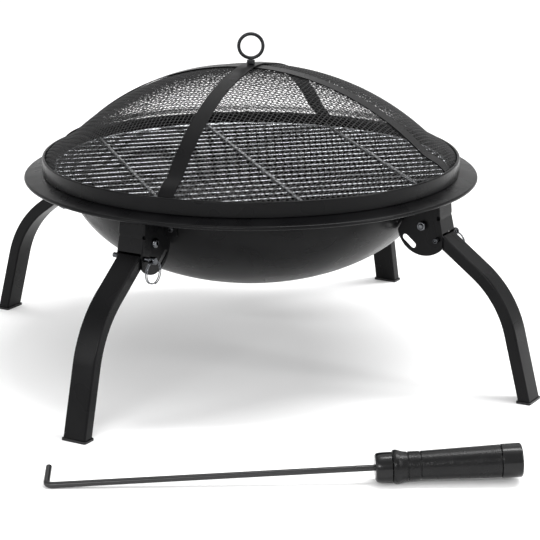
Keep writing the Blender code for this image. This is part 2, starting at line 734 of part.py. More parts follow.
# Lid hoop: a band with its top edge rolled in, and a lip at the bottom that follows the flange.
lid_axis = station("lid_axis", pit_axis)
hoop_low = flange_z(HOOP_R, GAP)
hoop_top = hoop_low + HOOP_HEIGHT
bead_x = HOOP_R - HOOP_BEAD
bead_z = hoop_top - HOOP_BEAD
lip_r = HOOP_R - HOOP_LIP
band_r = HOOP_R - HOOP_SHEET
lip_rise = HOOP_SHEET / math.cos(FLANGE_SLOPE)
roll = math.acos((band_r - bead_x) / HOOP_BEAD)
hoop_profile = [
    (HOOP_R, hoop_low),
    (lip_r, flange_z(lip_r, GAP)),
    (lip_r, flange_z(lip_r, GAP) + lip_rise),
    (band_r, flange_z(band_r, GAP) + lip_rise),
]
hoop_profile += arc(bead_x, bead_z, HOOP_BEAD, -roll, -2 * math.pi, 7)
hoop_mesh = baked(turned("hoop_shape", hoop_profile))
piece("lid_hoop", hoop_mesh, black_coat, lid_axis)

# Domed mesh, as a thin shell whose rim stands on the hoop's lip.
seat_z = flange_z(MESH_SEAT_R, GAP) + lip_rise + GAP
dome_z = seat_z + DOME_RISE - DOME_R
stem_hole = STEM_R + BORE_GAP
DOME_STEPS = 5
dome_out = math.asin(MESH_SEAT_R / (DOME_R - DOME_SHEET))
dome_profile = []
for step in range(DOME_STEPS + 1):
    low = math.asin(stem_hole / DOME_R)
    angle = low + (dome_out - low) * step / DOME_STEPS
    dome_profile.append((DOME_R * math.sin(angle), dome_z + DOME_R * math.cos(angle)))
for step in range(DOME_STEPS + 1):
    inner = DOME_R - DOME_SHEET
    low = math.asin(stem_hole / inner)
    angle = dome_out + (low - dome_out) * step / DOME_STEPS
    dome_profile.append((inner * math.sin(angle), dome_z + inner * math.cos(angle)))
piece("lid_mesh", baked(turned("mesh_shape", dome_profile)), mesh_coat, lid_axis)

# Two straps over the dome. The second one steps up over the first at the crown.
strap_inner = DOME_R + GAP
strap_outer = strap_inner + STRAP_SHEET
strap_reach = math.asin((band_r - 3 * GAP) / strap_outer)
cross_lift = STRAP_SHEET + 2 * GAP
shoulder = math.asin(CROSSING_OUT / strap_outer)
strap_angles = [strap_reach + (shoulder - strap_reach) * step / STRAP_STEPS for step in range(STRAP_STEPS + 1)]
strap_angles.append(math.asin(CROSSING_IN / strap_outer))
strap_angles = [-angle for angle in strap_angles] + [0] + list(reversed(strap_angles))
for index, name in enumerate(("lid_strap_lower", "lid_strap_upper")):
    outside = []
    inside = []
    for angle in strap_angles:
        raised = abs(angle) < shoulder - 1e-6
        lift = index * cross_lift * raised
        for sphere, points in ((strap_outer, outside), (strap_inner, inside)):
            points.append(((sphere + lift) * math.sin(angle), dome_z + (sphere + lift) * math.cos(angle)))
    strap = slab(name + "_blank", outside + list(reversed(inside)), -STRAP_WIDTH / 2, STRAP_WIDTH / 2)
    boolean(
        strap,
        "DIFFERENCE",
        rod(name + "_hole", (0, 0, dome_z), (0, 0, dome_z + DOME_R + 2 * CUT_OVER), stem_hole, 12),
    )
    turn = FIRST_STRAP + index * math.radians(90)
    piece(name, baked(strap), black_coat, lid_axis, (0, 0, 0), (0, 0, turn))

# Lifting ring with its stem through the crown, a collar above and a nut inside.
crown = dome_z + strap_outer + cross_lift + GAP
eye_z = crown + COLLAR_THICK + GAP + EYE_WIRE + EYE_R
inner_nut_top = dome_z + DOME_R - DOME_SHEET - 1.5 * GAP
eye_points = [(x, 0, z) for x, z in arc(0, eye_z, EYE_R, 0, 2 * math.pi, 24)[:-1]]
eye = wire("eye_shape", eye_points, EYE_WIRE, 2, True)
stem_low = inner_nut_top - INNER_NUT_THICK - STEM_END
boolean(eye, "UNION", rod("stem", (0, 0, stem_low), (0, 0, eye_z - EYE_R), STEM_R, 12))
piece("lid_ring", baked(eye), dark_hardware, lid_axis)
collar = turned(
    "ring_collar",
    [
        (COLLAR_R - POINT_EDGE, crown + COLLAR_THICK),
        (COLLAR_R, crown + COLLAR_THICK - POINT_EDGE),
        (COLLAR_R, crown),
        (stem_hole, crown),
        (stem_hole, crown + COLLAR_THICK),
    ],
    16,
)
piece("lid_ring_nut", baked(collar), dark_hardware, lid_axis)
inner_nut_mesh = nut("inner_nut_shape", INNER_NUT_ACROSS, INNER_NUT_THICK, stem_hole)
piece("lid_inner_nut", inner_nut_mesh, zinc, lid_axis, (0, 0, inner_nut_top - INNER_NUT_THICK))

# Cooking grate: the rods clear the bowl's rim, and the ring rests on the flange.
ring_r = GRATE_R - GRATE_RING_WIRE
ring_z = flange_z(ring_r, GAP + GRATE_RING_WIRE)
rod_z = RIM_Z + bend + GAP + GRATE_ROD
support_z = rod_z + GRATE_ROD + GRATE_SUPPORT - WELD_SINK
along_x, along_y = math.cos(GRATE_TURN), math.sin(GRATE_TURN)
wires = collection("grate_wires", True, CUTTERS)


def grate_bar(name, offset, z, radius, across, sides):
    """A bar at this offset from the middle, along the rods or across them, ending inside the ring."""
    half = math.sqrt((ring_r - radius / 2) ** 2 - offset**2)
    ends = []
    for end in (-half, half):
        u, v = (offset, end) if across else (end, offset)
        ends.append((u * along_x - v * along_y, u * along_y + v * along_x, z))
    rod(name, ends[0], ends[1], radius, sides, wires)


rods_each_side = int((ring_r - GRATE_RING_WIRE) / GRATE_ROD_PITCH + 0.5)
for number in range(-rods_each_side, rods_each_side):
    grate_bar("grate_rod", (number + 0.5) * GRATE_ROD_PITCH, rod_z, GRATE_ROD, False, 6)
for number in (-1, 0, 1):
    grate_bar("grate_support", number * GRATE_SUPPORT_PITCH, support_z, GRATE_SUPPORT, True, 6)
grate = turned("grate_ring", arc(ring_r, ring_z, GRATE_RING_WIRE, 0, -2 * math.pi, 6)[:-1])
boolean(grate, "UNION", wires)
piece("cooking_grate", baked(grate), chrome, pit_axis)

# Poker, seen from the corner of its hook: Z runs to the handle, X down, Y back.
bulge_at = COLLAR_AT + COLLAR_LENGTH + BULGE_BACK
tilt = math.asin((BULGE_R - POKER_ROD) / bulge_at)
poker_place = (-POKER_LEFT, PIT_Y - POKER_FRONT + POKER_ROD, POKER_ROD)
poker_axis = station("poker_axis", None, poker_place, (0, math.radians(90) - tilt, POKER_TURN))
to_handle = Vector((0, 0, 1))
hook_side = Vector((-math.sin(HOOK_LIFT), math.cos(HOOK_LIFT), 0))
to_hook = to_handle * math.cos(HOOK_TURN) + hook_side * math.sin(HOOK_TURN)
tangent = HOOK_BEND / math.tan(HOOK_TURN / 2)
bend_centre = (to_hook + to_handle).normalized() * (HOOK_BEND / math.sin(HOOK_TURN / 2))
from_hook = to_hook * tangent - bend_centre
from_rod = to_handle * tangent - bend_centre
rod_points = [to_hook * HOOK_LENGTH]
turn_left = math.pi - HOOK_TURN
for step in range(6):
    near_hook = math.sin(turn_left * (1 - step / 5)) / math.sin(turn_left)
    near_rod = math.sin(turn_left * step / 5) / math.sin(turn_left)
    rod_points.append(bend_centre + from_hook * near_hook + from_rod * near_rod)
grip_at = COLLAR_AT + COLLAR_LENGTH + GAP
rod_end = grip_at + ROD_IN_GRIP
rod_points.append(to_handle * rod_end)
rod_mesh = wire("poker_rod_shape", [tuple(point) for point in rod_points], POKER_ROD, 2).data
piece("poker_rod", rod_mesh, black_coat, poker_axis)
rod_bore = POKER_ROD + BORE_GAP
collar_end = COLLAR_AT + COLLAR_LENGTH
handle_collar = turned(
    "handle_collar",
    [
        (HANDLE_COLLAR_R, collar_end),
        (HANDLE_COLLAR_R - 0.25 * HANDLE_EDGE, COLLAR_AT + 0.25 * COLLAR_LENGTH),
        (HANDLE_COLLAR_R - 1.25 * HANDLE_EDGE, COLLAR_AT + 0.08 * COLLAR_LENGTH),
        (HANDLE_COLLAR_R - 3.75 * HANDLE_EDGE, COLLAR_AT),
        (rod_bore, COLLAR_AT),
        (rod_bore, collar_end),
    ],
    HANDLE_ROUND,
)
piece("poker_collar", baked(handle_collar), plastic, poker_axis)
grip_end = grip_at + GRIP_LENGTH
spigot_hole = grip_end - SPIGOT_LENGTH - GAP
groove_a = grip_at + GROOVE_AT
groove_b = groove_a + GROOVE_PITCH


def groove(at, radius):
    """A shallow groove round the grip, from its rear edge to its front edge."""
    floor = radius - GROOVE_DEPTH
    return [(radius, at + GROOVE_DEPTH), (floor, at + GROOVE_FLOOR), (floor, at - GROOVE_FLOOR)]


grip_profile = [
    (0, spigot_hole),
    (SPIGOT_R + GAP, spigot_hole),
    (SPIGOT_R + GAP, grip_end),
    (GRIP_REAR_R - HANDLE_EDGE, grip_end),
    (GRIP_REAR_R, grip_end - HANDLE_EDGE),
]
grip_profile += groove(groove_b, GRIP_FRONT_R)
grip_profile += [(GRIP_FRONT_R, groove_b - GROOVE_DEPTH)]
grip_profile += groove(groove_a, GRIP_FRONT_R)
grip_profile += [
    (GRIP_FRONT_R - GROOVE_DEPTH / 4, groove_a - 1.25 * GROOVE_DEPTH),
    (GRIP_FRONT_R + HANDLE_EDGE / 2, bulge_at + NECK_LENGTH),
    (BULGE_R - 1.75 * HANDLE_EDGE, bulge_at + 0.65 * NECK_LENGTH),
    (BULGE_R - 0.4 * HANDLE_EDGE, bulge_at + 0.3 * NECK_LENGTH),
    (BULGE_R, bulge_at),
    (BULGE_R - 0.6 * HANDLE_EDGE, bulge_at - 0.6 * BULGE_BACK),
    (BULGE_R - 2 * HANDLE_EDGE, grip_at),
    (rod_bore, grip_at),
    (rod_bore, rod_end + GAP),
    (0, rod_end + GAP),
]
grip = turned("grip_shape", grip_profile, HANDLE_ROUND)
piece("poker_grip", baked(grip), plastic, poker_axis)
cap_at = grip_end + GAP
cap_end = cap_at + END_CAP_LENGTH
end_cap = turned(
    "end_cap_shape",
    [
        (0, cap_end),
        (END_CAP_R - 2 * HANDLE_EDGE, cap_end),
        (END_CAP_R, cap_end - 1.5 * HANDLE_EDGE),
        (END_CAP_R - 0.4 * HANDLE_EDGE, cap_at + HANDLE_EDGE),
        (END_CAP_R - 1.4 * HANDLE_EDGE, cap_at),
        (SPIGOT_R, cap_at),
        (SPIGOT_R, cap_at - SPIGOT_LENGTH),
        (0, cap_at - SPIGOT_LENGTH),
    ],
    HANDLE_ROUND,
)
piece("poker_end_cap", baked(end_cap), plastic, poker_axis)
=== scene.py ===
"""Looks of the folding-leg fire pit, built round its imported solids. Lengths are in metres."""

from math import acos, asin, atan2, cos, hypot, pi, radians, sin, sqrt, tan

import bmesh
import bpy
from mathutils import Matrix, Vector


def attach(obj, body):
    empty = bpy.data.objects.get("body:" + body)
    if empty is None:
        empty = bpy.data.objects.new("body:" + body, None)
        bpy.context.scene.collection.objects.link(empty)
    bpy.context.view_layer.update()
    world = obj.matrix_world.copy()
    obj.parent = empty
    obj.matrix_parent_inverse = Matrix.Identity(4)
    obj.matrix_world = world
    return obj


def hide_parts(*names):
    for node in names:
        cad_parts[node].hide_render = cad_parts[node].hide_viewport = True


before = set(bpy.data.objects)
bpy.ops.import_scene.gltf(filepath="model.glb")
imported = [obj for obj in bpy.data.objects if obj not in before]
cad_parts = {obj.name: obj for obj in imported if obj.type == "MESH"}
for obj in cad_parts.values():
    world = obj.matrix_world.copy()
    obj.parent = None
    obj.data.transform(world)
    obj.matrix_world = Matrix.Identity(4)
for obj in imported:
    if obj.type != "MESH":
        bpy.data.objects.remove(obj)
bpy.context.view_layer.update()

# Clearance, points taken as one, sides of the pressed pieces here, and sides of the bowl's own solid.
GAP = 0.0003
TOUCH = 1e-6
PRESSED_SIDES = 144
BOWL_SIDES = 48

# Legs.
FIRST_LEG = radians(-30.63)
LEG_WIDTH = 0.030
LEG_DEPTH = 0.015
LEG_WALL = 0.0015
LEG_CORNER = 0.0022
LEG_INNER_CORNER = 0.0009
LEG_SLOPE = radians(36.5)
FOOT_SLOPE = radians(75.5)
LEG_UPPER = 0.0846
LEG_BEND = 0.125
LEG_LOWER = 0.0831
LEG_TAIL = 0.012
HOLLOW_OVER = 0.002
UPPER_STEPS = 5
BEND_STEPS = 28
CORNER_STEPS = 5
CAP_THICK = 0.003
CAP_PROUD = 0.0014
CAP_EDGE = 0.0008

# Bowl.
BOWL_R = 0.2258
BOWL_DEPTH = 0.1313
BOWL_SHEET = 0.0012
RIM_OVER_PIVOT = 0.035
RIM_BEND = 0.006
FLANGE_SLOPE = radians(10)
FLANGE_WIDTH = 0.0542
HEM_R = 0.0025
WALL_STEPS = 28

# Brackets.
BRACKET_SHEET = 0.002
LEG_SIDE_GAP = 0.0005
PIVOT_OUT = 0.0202
WEB_TOP_OUT = 0.0200
WEB_NOTCH_OUT = 0.0216
WEB_FOOT_OUT = 0.0255
SIDE_OUT = 0.0260
NOTCH_OVER_PIVOT = 0.0105
NOTCH_SIZE = 0.0025
LOBE_R = 0.034
LOBE_OUT = 0.001
LOBE_DROP = 0.003
SLOT_FROM_PIVOT = 0.0275
SLOT_ANGLE = radians(-129.3)
SLOT_TRAVEL = 0.013
SLOT_WIDTH = 0.0078
TAB_REACH = 0.0145
TAB_HEIGHT = 0.021
TAB_OVER_PIVOT = 0.0135
TAB_CORNER = 0.003
TAB_BLOCK = 0.03
FOLD_R = 0.0018
SHEET_EDGE = 0.00022
SHEET_OVER = 0.01
SHEET_REACH = 0.05

# Bolts, nuts, lock pins and pull rings. HEX_FLAT is a hexagon's reach to a flat over that to a corner.
HEX_FLAT = cos(radians(30))
BOWL_BOLT_R = 0.002
BOWL_BOLT_HEAD_R = 0.004
BOWL_BOLT_HEAD = 0.0024
BOWL_NUT_ACROSS = 0.007
BOWL_NUT_THICK = 0.0032
PIVOT_R = 0.003
PIVOT_HEAD_R = 0.006
PIVOT_HEAD = 0.004
PIVOT_NUT_ACROSS = 0.010
PIVOT_NUT_THICK = 0.005
BOLT_END = 0.0015
BOLT_EDGE = 0.00008
NUT_EDGE = 0.00006
PIN_EDGE = 0.00025
PIN_R = 0.003
PIN_FROM_PIVOT = 0.025
PIN_TAIL = 0.008
PIN_HEAD_R = 0.0045
PIN_HEAD = 0.008
PIN_NECK = 0.007
PIN_EYE_R = 0.0025
NOTCH_SLACK = 0.0013
NOTCH_SWEEP = radians(30)
RING_WIRE = 0.00062
RING_R = 0.0136
RING_PITCH = 0.0021
RING_STEPS = 44

# Lid.
HOOP_OVER_GRATE = 0.0132
HOOP_SHEET = 0.0012
HOOP_HEIGHT = 0.019
HOOP_BEAD = 0.0018
HOOP_LIP = 0.004
MESH_ON_LIP = 0.0012
DOME_RISE = 0.1242
DOME_SHEET = 0.001
MESH_PITCH = 0.0054
MESH_WIRE = 0.00048
MESH_CRIMP = 0.00045
FLARE_FROM = 0.222
STRAP_SHEET = 0.0012
STRAP_WIDTH = 0.020
STRAP_STEPS = 96
FIRST_STRAP = radians(-22.5)
CROSSING_OUT = 0.040
CROSSING_IN = 0.015
EYE_R = 0.0148
EYE_WIRE = 0.0021
STEM_R = 0.0025
COLLAR_R = 0.005
COLLAR_THICK = 0.005
COLLAR_ROUND = 0.0009
INNER_NUT_ACROSS = 0.008
INNER_NUT_THICK = 0.004
STEM_END = 0.002

# Cooking grate.
GRATE_OVER_RIM = 0.0125
GRATE_RING_WIRE = 0.00225
GRATE_ROD = 0.0015
GRATE_ROD_PITCH = 0.0222
GRATE_SUPPORT = 0.002
GRATE_SUPPORT_PITCH = 0.155
GRATE_TURN = radians(15.2)
GRATE_STEPS = 12
WELD_SINK = 0.0003
WELD_R = 0.0021
CROSS_WELD_R = 0.0019
ROD_WELD_HEIGHT = 0.0017
CROSS_WELD_HEIGHT = 0.0012
SUPPORT_WELD_HEIGHT = 0.0024
ROD_WELD_DROP = 0.0006

# Poker.
POKER_FRONT = 0.4769
POKER_LEFT = 0.2156
POKER_TURN = radians(2.6)
POKER_ROD = 0.00345
ROD_INSIDE = 0.00007
HOOK_LENGTH = 0.034
HOOK_TURN = radians(86.4)
HOOK_LIFT = radians(15)
HOOK_BEND = 0.0055
COLLAR_AT = 0.3475
COLLAR_LENGTH = 0.018
HANDLE_COLLAR_R = 0.016
BULGE_R = 0.01815
BULGE_BACK = 0.0035
NECK_LENGTH = 0.0085
GRIP_LENGTH = 0.1155
GRIP_FRONT_R = 0.0155
GRIP_REAR_R = 0.0177
GROOVE_AT = 0.0163
GROOVE_PITCH = 0.0135
GROOVE_DEPTH = 0.0008
GROOVE_LIP = 0.0002
GRIP_ROUND = 0.0012
END_CAP_R = 0.01825
END_CAP_LENGTH = 0.0222
END_CAP_LIP = 0.0009
END_CAP_ROUND = 0.0024
ROD_IN_GRIP = 0.045
SPIGOT_R = 0.008
SPIGOT_LENGTH = 0.010
HANDLE_SIDES = 64

# Sizes that follow from those above.
PIVOT_Z = (
    LEG_UPPER * sin(LEG_SLOPE)
    + LEG_BEND * (cos(LEG_SLOPE) - cos(FOOT_SLOPE))
    + LEG_LOWER * sin(FOOT_SLOPE)
)
PIVOT_X = BOWL_R + PIVOT_OUT
RIM_Z = PIVOT_Z + RIM_OVER_PIVOT
RIM_X = BOWL_R + RIM_BEND
BRIM_R = BOWL_R + FLANGE_WIDTH
GRATE_R = RIM_X + GRATE_OVER_RIM
HOOP_R = GRATE_R + HOOP_OVER_GRATE
MESH_SEAT_R = HOOP_R - HOOP_LIP + MESH_ON_LIP
INNER_RISE = DOME_RISE - DOME_SHEET
DOME_R = (MESH_SEAT_R**2 + INNER_RISE**2) / INNER_RISE / 2 + DOME_SHEET
BRACKET_IN = LEG_WIDTH / 2 + LEG_SIDE_GAP
BRACKET_OUT = BRACKET_IN + BRACKET_SHEET
PIN_X = PIVOT_X + PIN_FROM_PIVOT * cos(LEG_SLOPE)
PIN_Z = PIVOT_Z - PIN_FROM_PIVOT * sin(LEG_SLOPE)
PIN_EYE = BRACKET_OUT + PIN_NECK + PIN_HEAD / 2
FOOT_OUT = (
    LEG_UPPER * cos(LEG_SLOPE)
    + LEG_BEND * (sin(FOOT_SLOPE) - sin(LEG_SLOPE))
    + (LEG_LOWER - CAP_THICK / sin(FOOT_SLOPE)) * cos(FOOT_SLOPE)
)
CAP_HALF_DEPTH = LEG_DEPTH / 2 / sin(FOOT_SLOPE) + CAP_PROUD
CAP_HALF_WIDTH = LEG_WIDTH / 2 + CAP_PROUD
CORNERS = ("front_right", "back_right", "back_left", "front_left")
AZIMUTHS = [FIRST_LEG + radians(90) * turn for turn in range(4)]
BACK_REACH = max(
    (PIVOT_X + FOOT_OUT + CAP_HALF_DEPTH) * sin(azimuth) + CAP_HALF_WIDTH * abs(cos(azimuth))
    for azimuth in AZIMUTHS
)
PIT_Y = (POKER_FRONT - BACK_REACH) / 2
PIT = Matrix.Translation((0, PIT_Y, 0))
STATIONS = [PIT @ Matrix.Rotation(azimuth, 4, "Z") for azimuth in AZIMUTHS]


def linear(hex_colour):
    """An sRGB hex colour as linear red, green, blue and alpha."""
    channels = [int(hex_colour[start : start + 2], 16) / 255 for start in (1, 3, 5)]
    return [c / 12.92 if c <= 0.04045 else ((c + 0.055) / 1.055) ** 2.4 for c in channels] + [1]


def add(tree, kind, settings, links=None):
    """Adds one node. Settings name its attributes or sockets, and links give sockets their inputs."""
    node = tree.nodes.new(kind)
    for name, value in settings.items():
        if isinstance(name, str) and hasattr(node, name):
            setattr(node, name, value)
        else:
            node.inputs[name].default_value = value
    for name, source in (links or {}).items():
        tree.links.new(source, node.inputs[name])
    return node


def blank_finish(name, sockets):
    """A new material with its tree, its shader set as given, and the surface's own coordinates."""
    material = bpy.data.materials.new(name)
    material.use_nodes = True
    tree = material.node_tree
    shader = tree.nodes["Principled BSDF"]
    for socket, value in sockets.items():
        shader.inputs[socket].default_value = value
    place = add(tree, "ShaderNodeTexCoord", {}).outputs["Object"]
    return material, tree, shader, place


def vary(tree, shader, pattern, dark, light, smooth=0, rough=0):
    """Colour from dark to light over a pattern's middle range, with roughness too where it is given."""
    ramp = add(tree, "ShaderNodeValToRGB", {}, {"Fac": pattern})
    ramp.color_ramp.interpolation = "EASE"
    for stop, position, colour in zip(ramp.color_ramp.elements, (0.3, 0.7), (dark, light)):
        stop.position = position
        stop.color = linear(colour)
    tree.links.new(ramp.outputs["Color"], shader.inputs["Base Color"])
    if rough:
        settings = {"interpolation_type": "SMOOTHSTEP", "From Min": 0.3, "From Max": 0.7}
        settings |= {"To Min": smooth, "To Max": rough}
        spread = add(tree, "ShaderNodeMapRange", settings, {"Value": pattern})
        tree.links.new(spread.outputs["Result"], shader.inputs["Roughness"])


def powder_coated_steel(name, gloss):
    """Baked polyester powder on steel: satin, with a faint orange peel and barely uneven gloss."""
    material, tree, shader, place = blank_finish(name, {"IOR": 1.5, "Specular IOR Level": gloss})
    # Ripples of about 1.6 mm, as the melted powder leaves them.
    peel = add(tree, "ShaderNodeTexNoise", {"Scale": 620, "Detail": 1.5}, {"Vector": place}).outputs["Fac"]
    # Cloudy gloss over 40 mm, from handling and uneven film.
    cloud = add(tree, "ShaderNodeTexNoise", {"Scale": 26, "Detail": 1}, {"Vector": place}).outputs["Fac"]
    vary(tree, shader, cloud, "#0a0a0b", "#0e0e0f", 0.26, 0.32)
    bump = add(tree, "ShaderNodeBump", {"Strength": 0.10, "Distance": 0.00012}, {"Height": peel})
    tree.links.new(bump.outputs["Normal"], shader.inputs["Normal"])
    return material


def black_dipped_wire():
    """Woven steel wire dipped in black paint: duller than the sheet, with thicker drops here and there."""
    material, tree, shader, place = blank_finish("black_dipped_wire", {"IOR": 1.5})
    # Paint gathers in patches of about 8 mm.
    drops = add(tree, "ShaderNodeTexNoise", {"Scale": 120, "Detail": 3}, {"Vector": place}).outputs["Fac"]
    vary(tree, shader, drops, "#151516", "#212122", 0.42, 0.58)
    return material


def zinc_plated_steel(name, dark, light):
    """Zinc plating on turned steel: bright, or darkened by its passivation, with a faint cloudy bloom."""
    material, tree, shader, place = blank_finish(name, {"Metallic": 1})
    # Bloom of about 2 mm in the passivated plating.
    bloom = add(tree, "ShaderNodeTexNoise", {"Scale": 480, "Detail": 4}, {"Vector": place}).outputs["Fac"]
    vary(tree, shader, bloom, dark, light, 0.14, 0.24)
    return material


def black_oxide_steel():
    """Blackened steel hardware: dark, with an oily sheen."""
    material, tree, shader, place = blank_finish("black_oxide_steel", {"Metallic": 0.7})
    # The oil dries in patches of about 3 mm.
    oil = add(tree, "ShaderNodeTexNoise", {"Scale": 350, "Detail": 3}, {"Vector": place}).outputs["Fac"]
    vary(tree, shader, oil, "#1b1c1e", "#2a2b2d", 0.28, 0.40)
    return material


def bright_chromed_wire():
    """Drawn steel wire with bright chrome: mirror-like, with the plating's slight waviness."""
    material, tree, shader, place = blank_finish("bright_chromed_wire", {"Metallic": 1})
    # Waviness of about 3 mm left by drawing and plating.
    wave = add(tree, "ShaderNodeTexNoise", {"Scale": 330, "Detail": 2}, {"Vector": place}).outputs["Fac"]
    vary(tree, shader, wave, "#a4a6a9", "#c2c4c7", 0.10, 0.19)
    bump = add(tree, "ShaderNodeBump", {"Strength": 0.15, "Distance": 0.0001}, {"Height": wave})
    tree.links.new(bump.outputs["Normal"], shader.inputs["Normal"])
    return material


def moulded_plastic(name, grain_strength, smooth, rough, gloss):
    """Black moulded polypropylene: a soft gloss, with a stippled grain where the mould was textured."""
    material, tree, shader, place = blank_finish(name, {"IOR": 1.49, "Specular IOR Level": gloss})
    # Stipple of about 1.4 mm, drawn coarser than the mould's own grain so that it shows at this distance.
    grain = add(tree, "ShaderNodeTexVoronoi", {"Scale": 700}, {"Vector": place}).outputs["Distance"]
    # Faint flow marks of about 17 mm from the mould.
    cloud = add(tree, "ShaderNodeTexNoise", {"Scale": 60, "Detail": 3}, {"Vector": place}).outputs["Fac"]
    vary(tree, shader, cloud, "#09090a", "#0d0d0e", smooth, rough)
    bump = add(tree, "ShaderNodeBump", {"Strength": grain_strength, "Distance": 0.0002}, {"Height": grain})
    tree.links.new(bump.outputs["Normal"], shader.inputs["Normal"])
    return material


def matt_floor():
    """Matt white studio floor with hardly any unevenness."""
    sockets = {"Roughness": 0.9, "Specular IOR Level": 0.1}
    material, tree, shader, place = blank_finish("matt_studio_floor", sockets)
    # Clouds of about half a metre.
    cloud = add(tree, "ShaderNodeTexNoise", {"Scale": 2, "Detail": 2}, {"Vector": place}).outputs["Fac"]
    vary(tree, shader, cloud, "#f9f9f9", "#fcfcfc")
    return material


black_coat = powder_coated_steel("powder_coated_steel", 0.10)
poker_coat = powder_coated_steel("glossy_powder_coated_rod", 0.5)
woven_wire = black_dipped_wire()
zinc = zinc_plated_steel("zinc_plated_steel", "#8f9194", "#b4b6b8")
dark_zinc = zinc_plated_steel("dark_passivated_zinc", "#4a4b4e", "#67696c")
pin_zinc = zinc_plated_steel("black_passivated_zinc", "#3a3b3e", "#525457")
ring_zinc = zinc_plated_steel("bright_zinc_plated_wire", "#55575a", "#6e7074")
black_oxide = black_oxide_steel()
chrome = bright_chromed_wire()
smooth_plastic = moulded_plastic("smooth_moulded_plastic", 0.05, 0.18, 0.24, 0.3)
grained_plastic = moulded_plastic("grained_moulded_plastic", 0.6, 0.22, 0.30, 0.24)


def wall_r(z, out=0.0):
    """Radius of the bowl's outer face at this height, moved outward."""
    drop = min(max((RIM_Z - z) / (BOWL_DEPTH + out), 0.0), 1.0)
    return (BOWL_R + out) * sqrt(1 - drop * drop)


def flange_z(radius, lift=0.0):
    """Height of the flange's upper face at this radius, moved along its normal."""
    bend = RIM_BEND + BOWL_SHEET
    start_r = RIM_X + bend * sin(FLANGE_SLOPE)
    start_z = RIM_Z + bend * cos(FLANGE_SLOPE)
    return start_z - (radius - start_r) * tan(FLANGE_SLOPE) + lift / cos(FLANGE_SLOPE)


def arc(centre_x, centre_z, radius, start, end, steps):
    """Points of an arc from one angle to another, both ends included."""
    angles = [start + (end - start) * step / steps for step in range(steps + 1)]
    return [(centre_x + radius * cos(a), centre_z + radius * sin(a)) for a in angles]


def smoothed(mesh, sharp_over=32):
    """Closes and shades a mesh smooth, with its sharp edges kept."""
    shape = bmesh.new()
    shape.from_mesh(mesh)
    bmesh.ops.remove_doubles(shape, verts=shape.verts, dist=TOUCH)
    bmesh.ops.recalc_face_normals(shape, faces=shape.faces)
    written(shape, mesh)
    mesh.polygons.foreach_set("use_smooth", [True] * len(mesh.polygons))
    mesh.set_sharp_from_angle(angle=radians(sharp_over))
    return mesh


def loose_mesh(name, points, faces):
    """A mesh from its points and faces, not yet shaded."""
    mesh = bpy.data.meshes.new(name)
    mesh.from_pydata([tuple(point) for point in points], [], faces)
    return mesh


def written(shape, mesh):
    """The mesh with an edited shape written to it."""
    shape.to_mesh(mesh)
    shape.free()
    return mesh


def joined(name, meshes):
    """Several meshes in one, each kept as its own shell."""
    shape = bmesh.new()
    for mesh in meshes:
        shape.from_mesh(mesh)
    return written(shape, bpy.data.meshes.new(name))


def spun(name, profile, sides):
    """A mesh turned about Z from a closed profile of (radius, height) points."""
    points = []
    rings = []
    for radius, z in profile:
        if radius < TOUCH:
            rings.append([len(points)] * sides)
            points.append((0, 0, z))
            continue
        rings.append(list(range(len(points), len(points) + sides)))
        for side in range(sides):
            angle = 2 * pi * side / sides
            points.append((radius * cos(angle), radius * sin(angle), z))
    faces = []
    open_ends = profile[0][0] < TOUCH
    for here in range(len(profile) - (1 if open_ends else 0)):
        lower, upper = rings[here], rings[(here + 1) % len(profile)]
        for side in range(sides):
            other = (side + 1) % sides
            corners = [lower[side], lower[other], upper[other], upper[side]]
            face = list(dict.fromkeys(corners))
            if len(face) > 2:
                faces.append(face)
    return loose_mesh(name, points, faces)


def skinned(name, sections, closed=False):
    """A mesh over sections with as many points each, capped at its ends unless it meets itself."""
    count, rows = len(sections[0]), len(sections)
    faces = []
    for row in range(rows if closed else rows - 1):
        this, later = row * count, (row + 1) % rows * count
        for here in range(count):
            there = (here + 1) % count
            faces.append((this + here, this + there, later + there, later + here))
    if not closed:
        faces.append(tuple(reversed(range(count))))
        faces.append(tuple(range((rows - 1) * count, rows * count)))
    return loose_mesh(name, [point for section in sections for point in section], faces)


def swept(name, centres, radius, sides, closed=False):
    """A round wire along a line of points, with domed ends unless it closes on itself."""
    centres = [Vector(centre) for centre in centres]
    count = len(centres)
    along = []
    for here in range(count):
        before = centres[here - 1] if closed or here else centres[here]
        after = centres[(here + 1) % count] if closed or here < count - 1 else centres[here]
        along.append((after - before).normalized())
    across = along[0].orthogonal().normalized()
    stations = [(centre, radius) for centre in centres]
    tangents = along
    if not closed:
        first, last = centres[0], centres[-1]
        stations = [(first, radius * 0.8)] + stations[1:-1] + [(last, radius * 0.8)]
        stations.insert(1, (first + along[0] * radius * 0.3, radius))
        stations.insert(-1, (last - along[-1] * radius * 0.3, radius))
        tangents = [along[0]] + along + [along[-1]]
    turns = [2 * pi * side / sides for side in range(sides)]
    sections = []
    for (centre, size), tangent in zip(stations, tangents):
        across = (across - tangent * across.dot(tangent)).normalized()
        up = tangent.cross(across)
        sections.append([centre + (across * cos(turn) + up * sin(turn)) * size for turn in turns])
    return skinned(name, sections, closed)


def slab(name, outline, low, high):
    """A mesh from an outline of (x, z) points, from y = low to y = high."""
    return skinned(name, [[(x, y, z) for x, z in outline] for y in (low, high)])


def bar(name, start, end, radius, sides=24):
    """A plain round cutter between two points."""
    start, end = Vector(start), Vector(end)
    along = end - start
    place = Matrix.Translation((start + end) / 2) @ along.to_track_quat("Z", "Y").to_matrix().to_4x4()
    shape = bmesh.new()
    sizes = {"radius1": radius, "radius2": radius, "depth": along.length}
    bmesh.ops.create_cone(shape, cap_ends=True, segments=sides, matrix=place, **sizes)
    return written(shape, bpy.data.meshes.new(name))


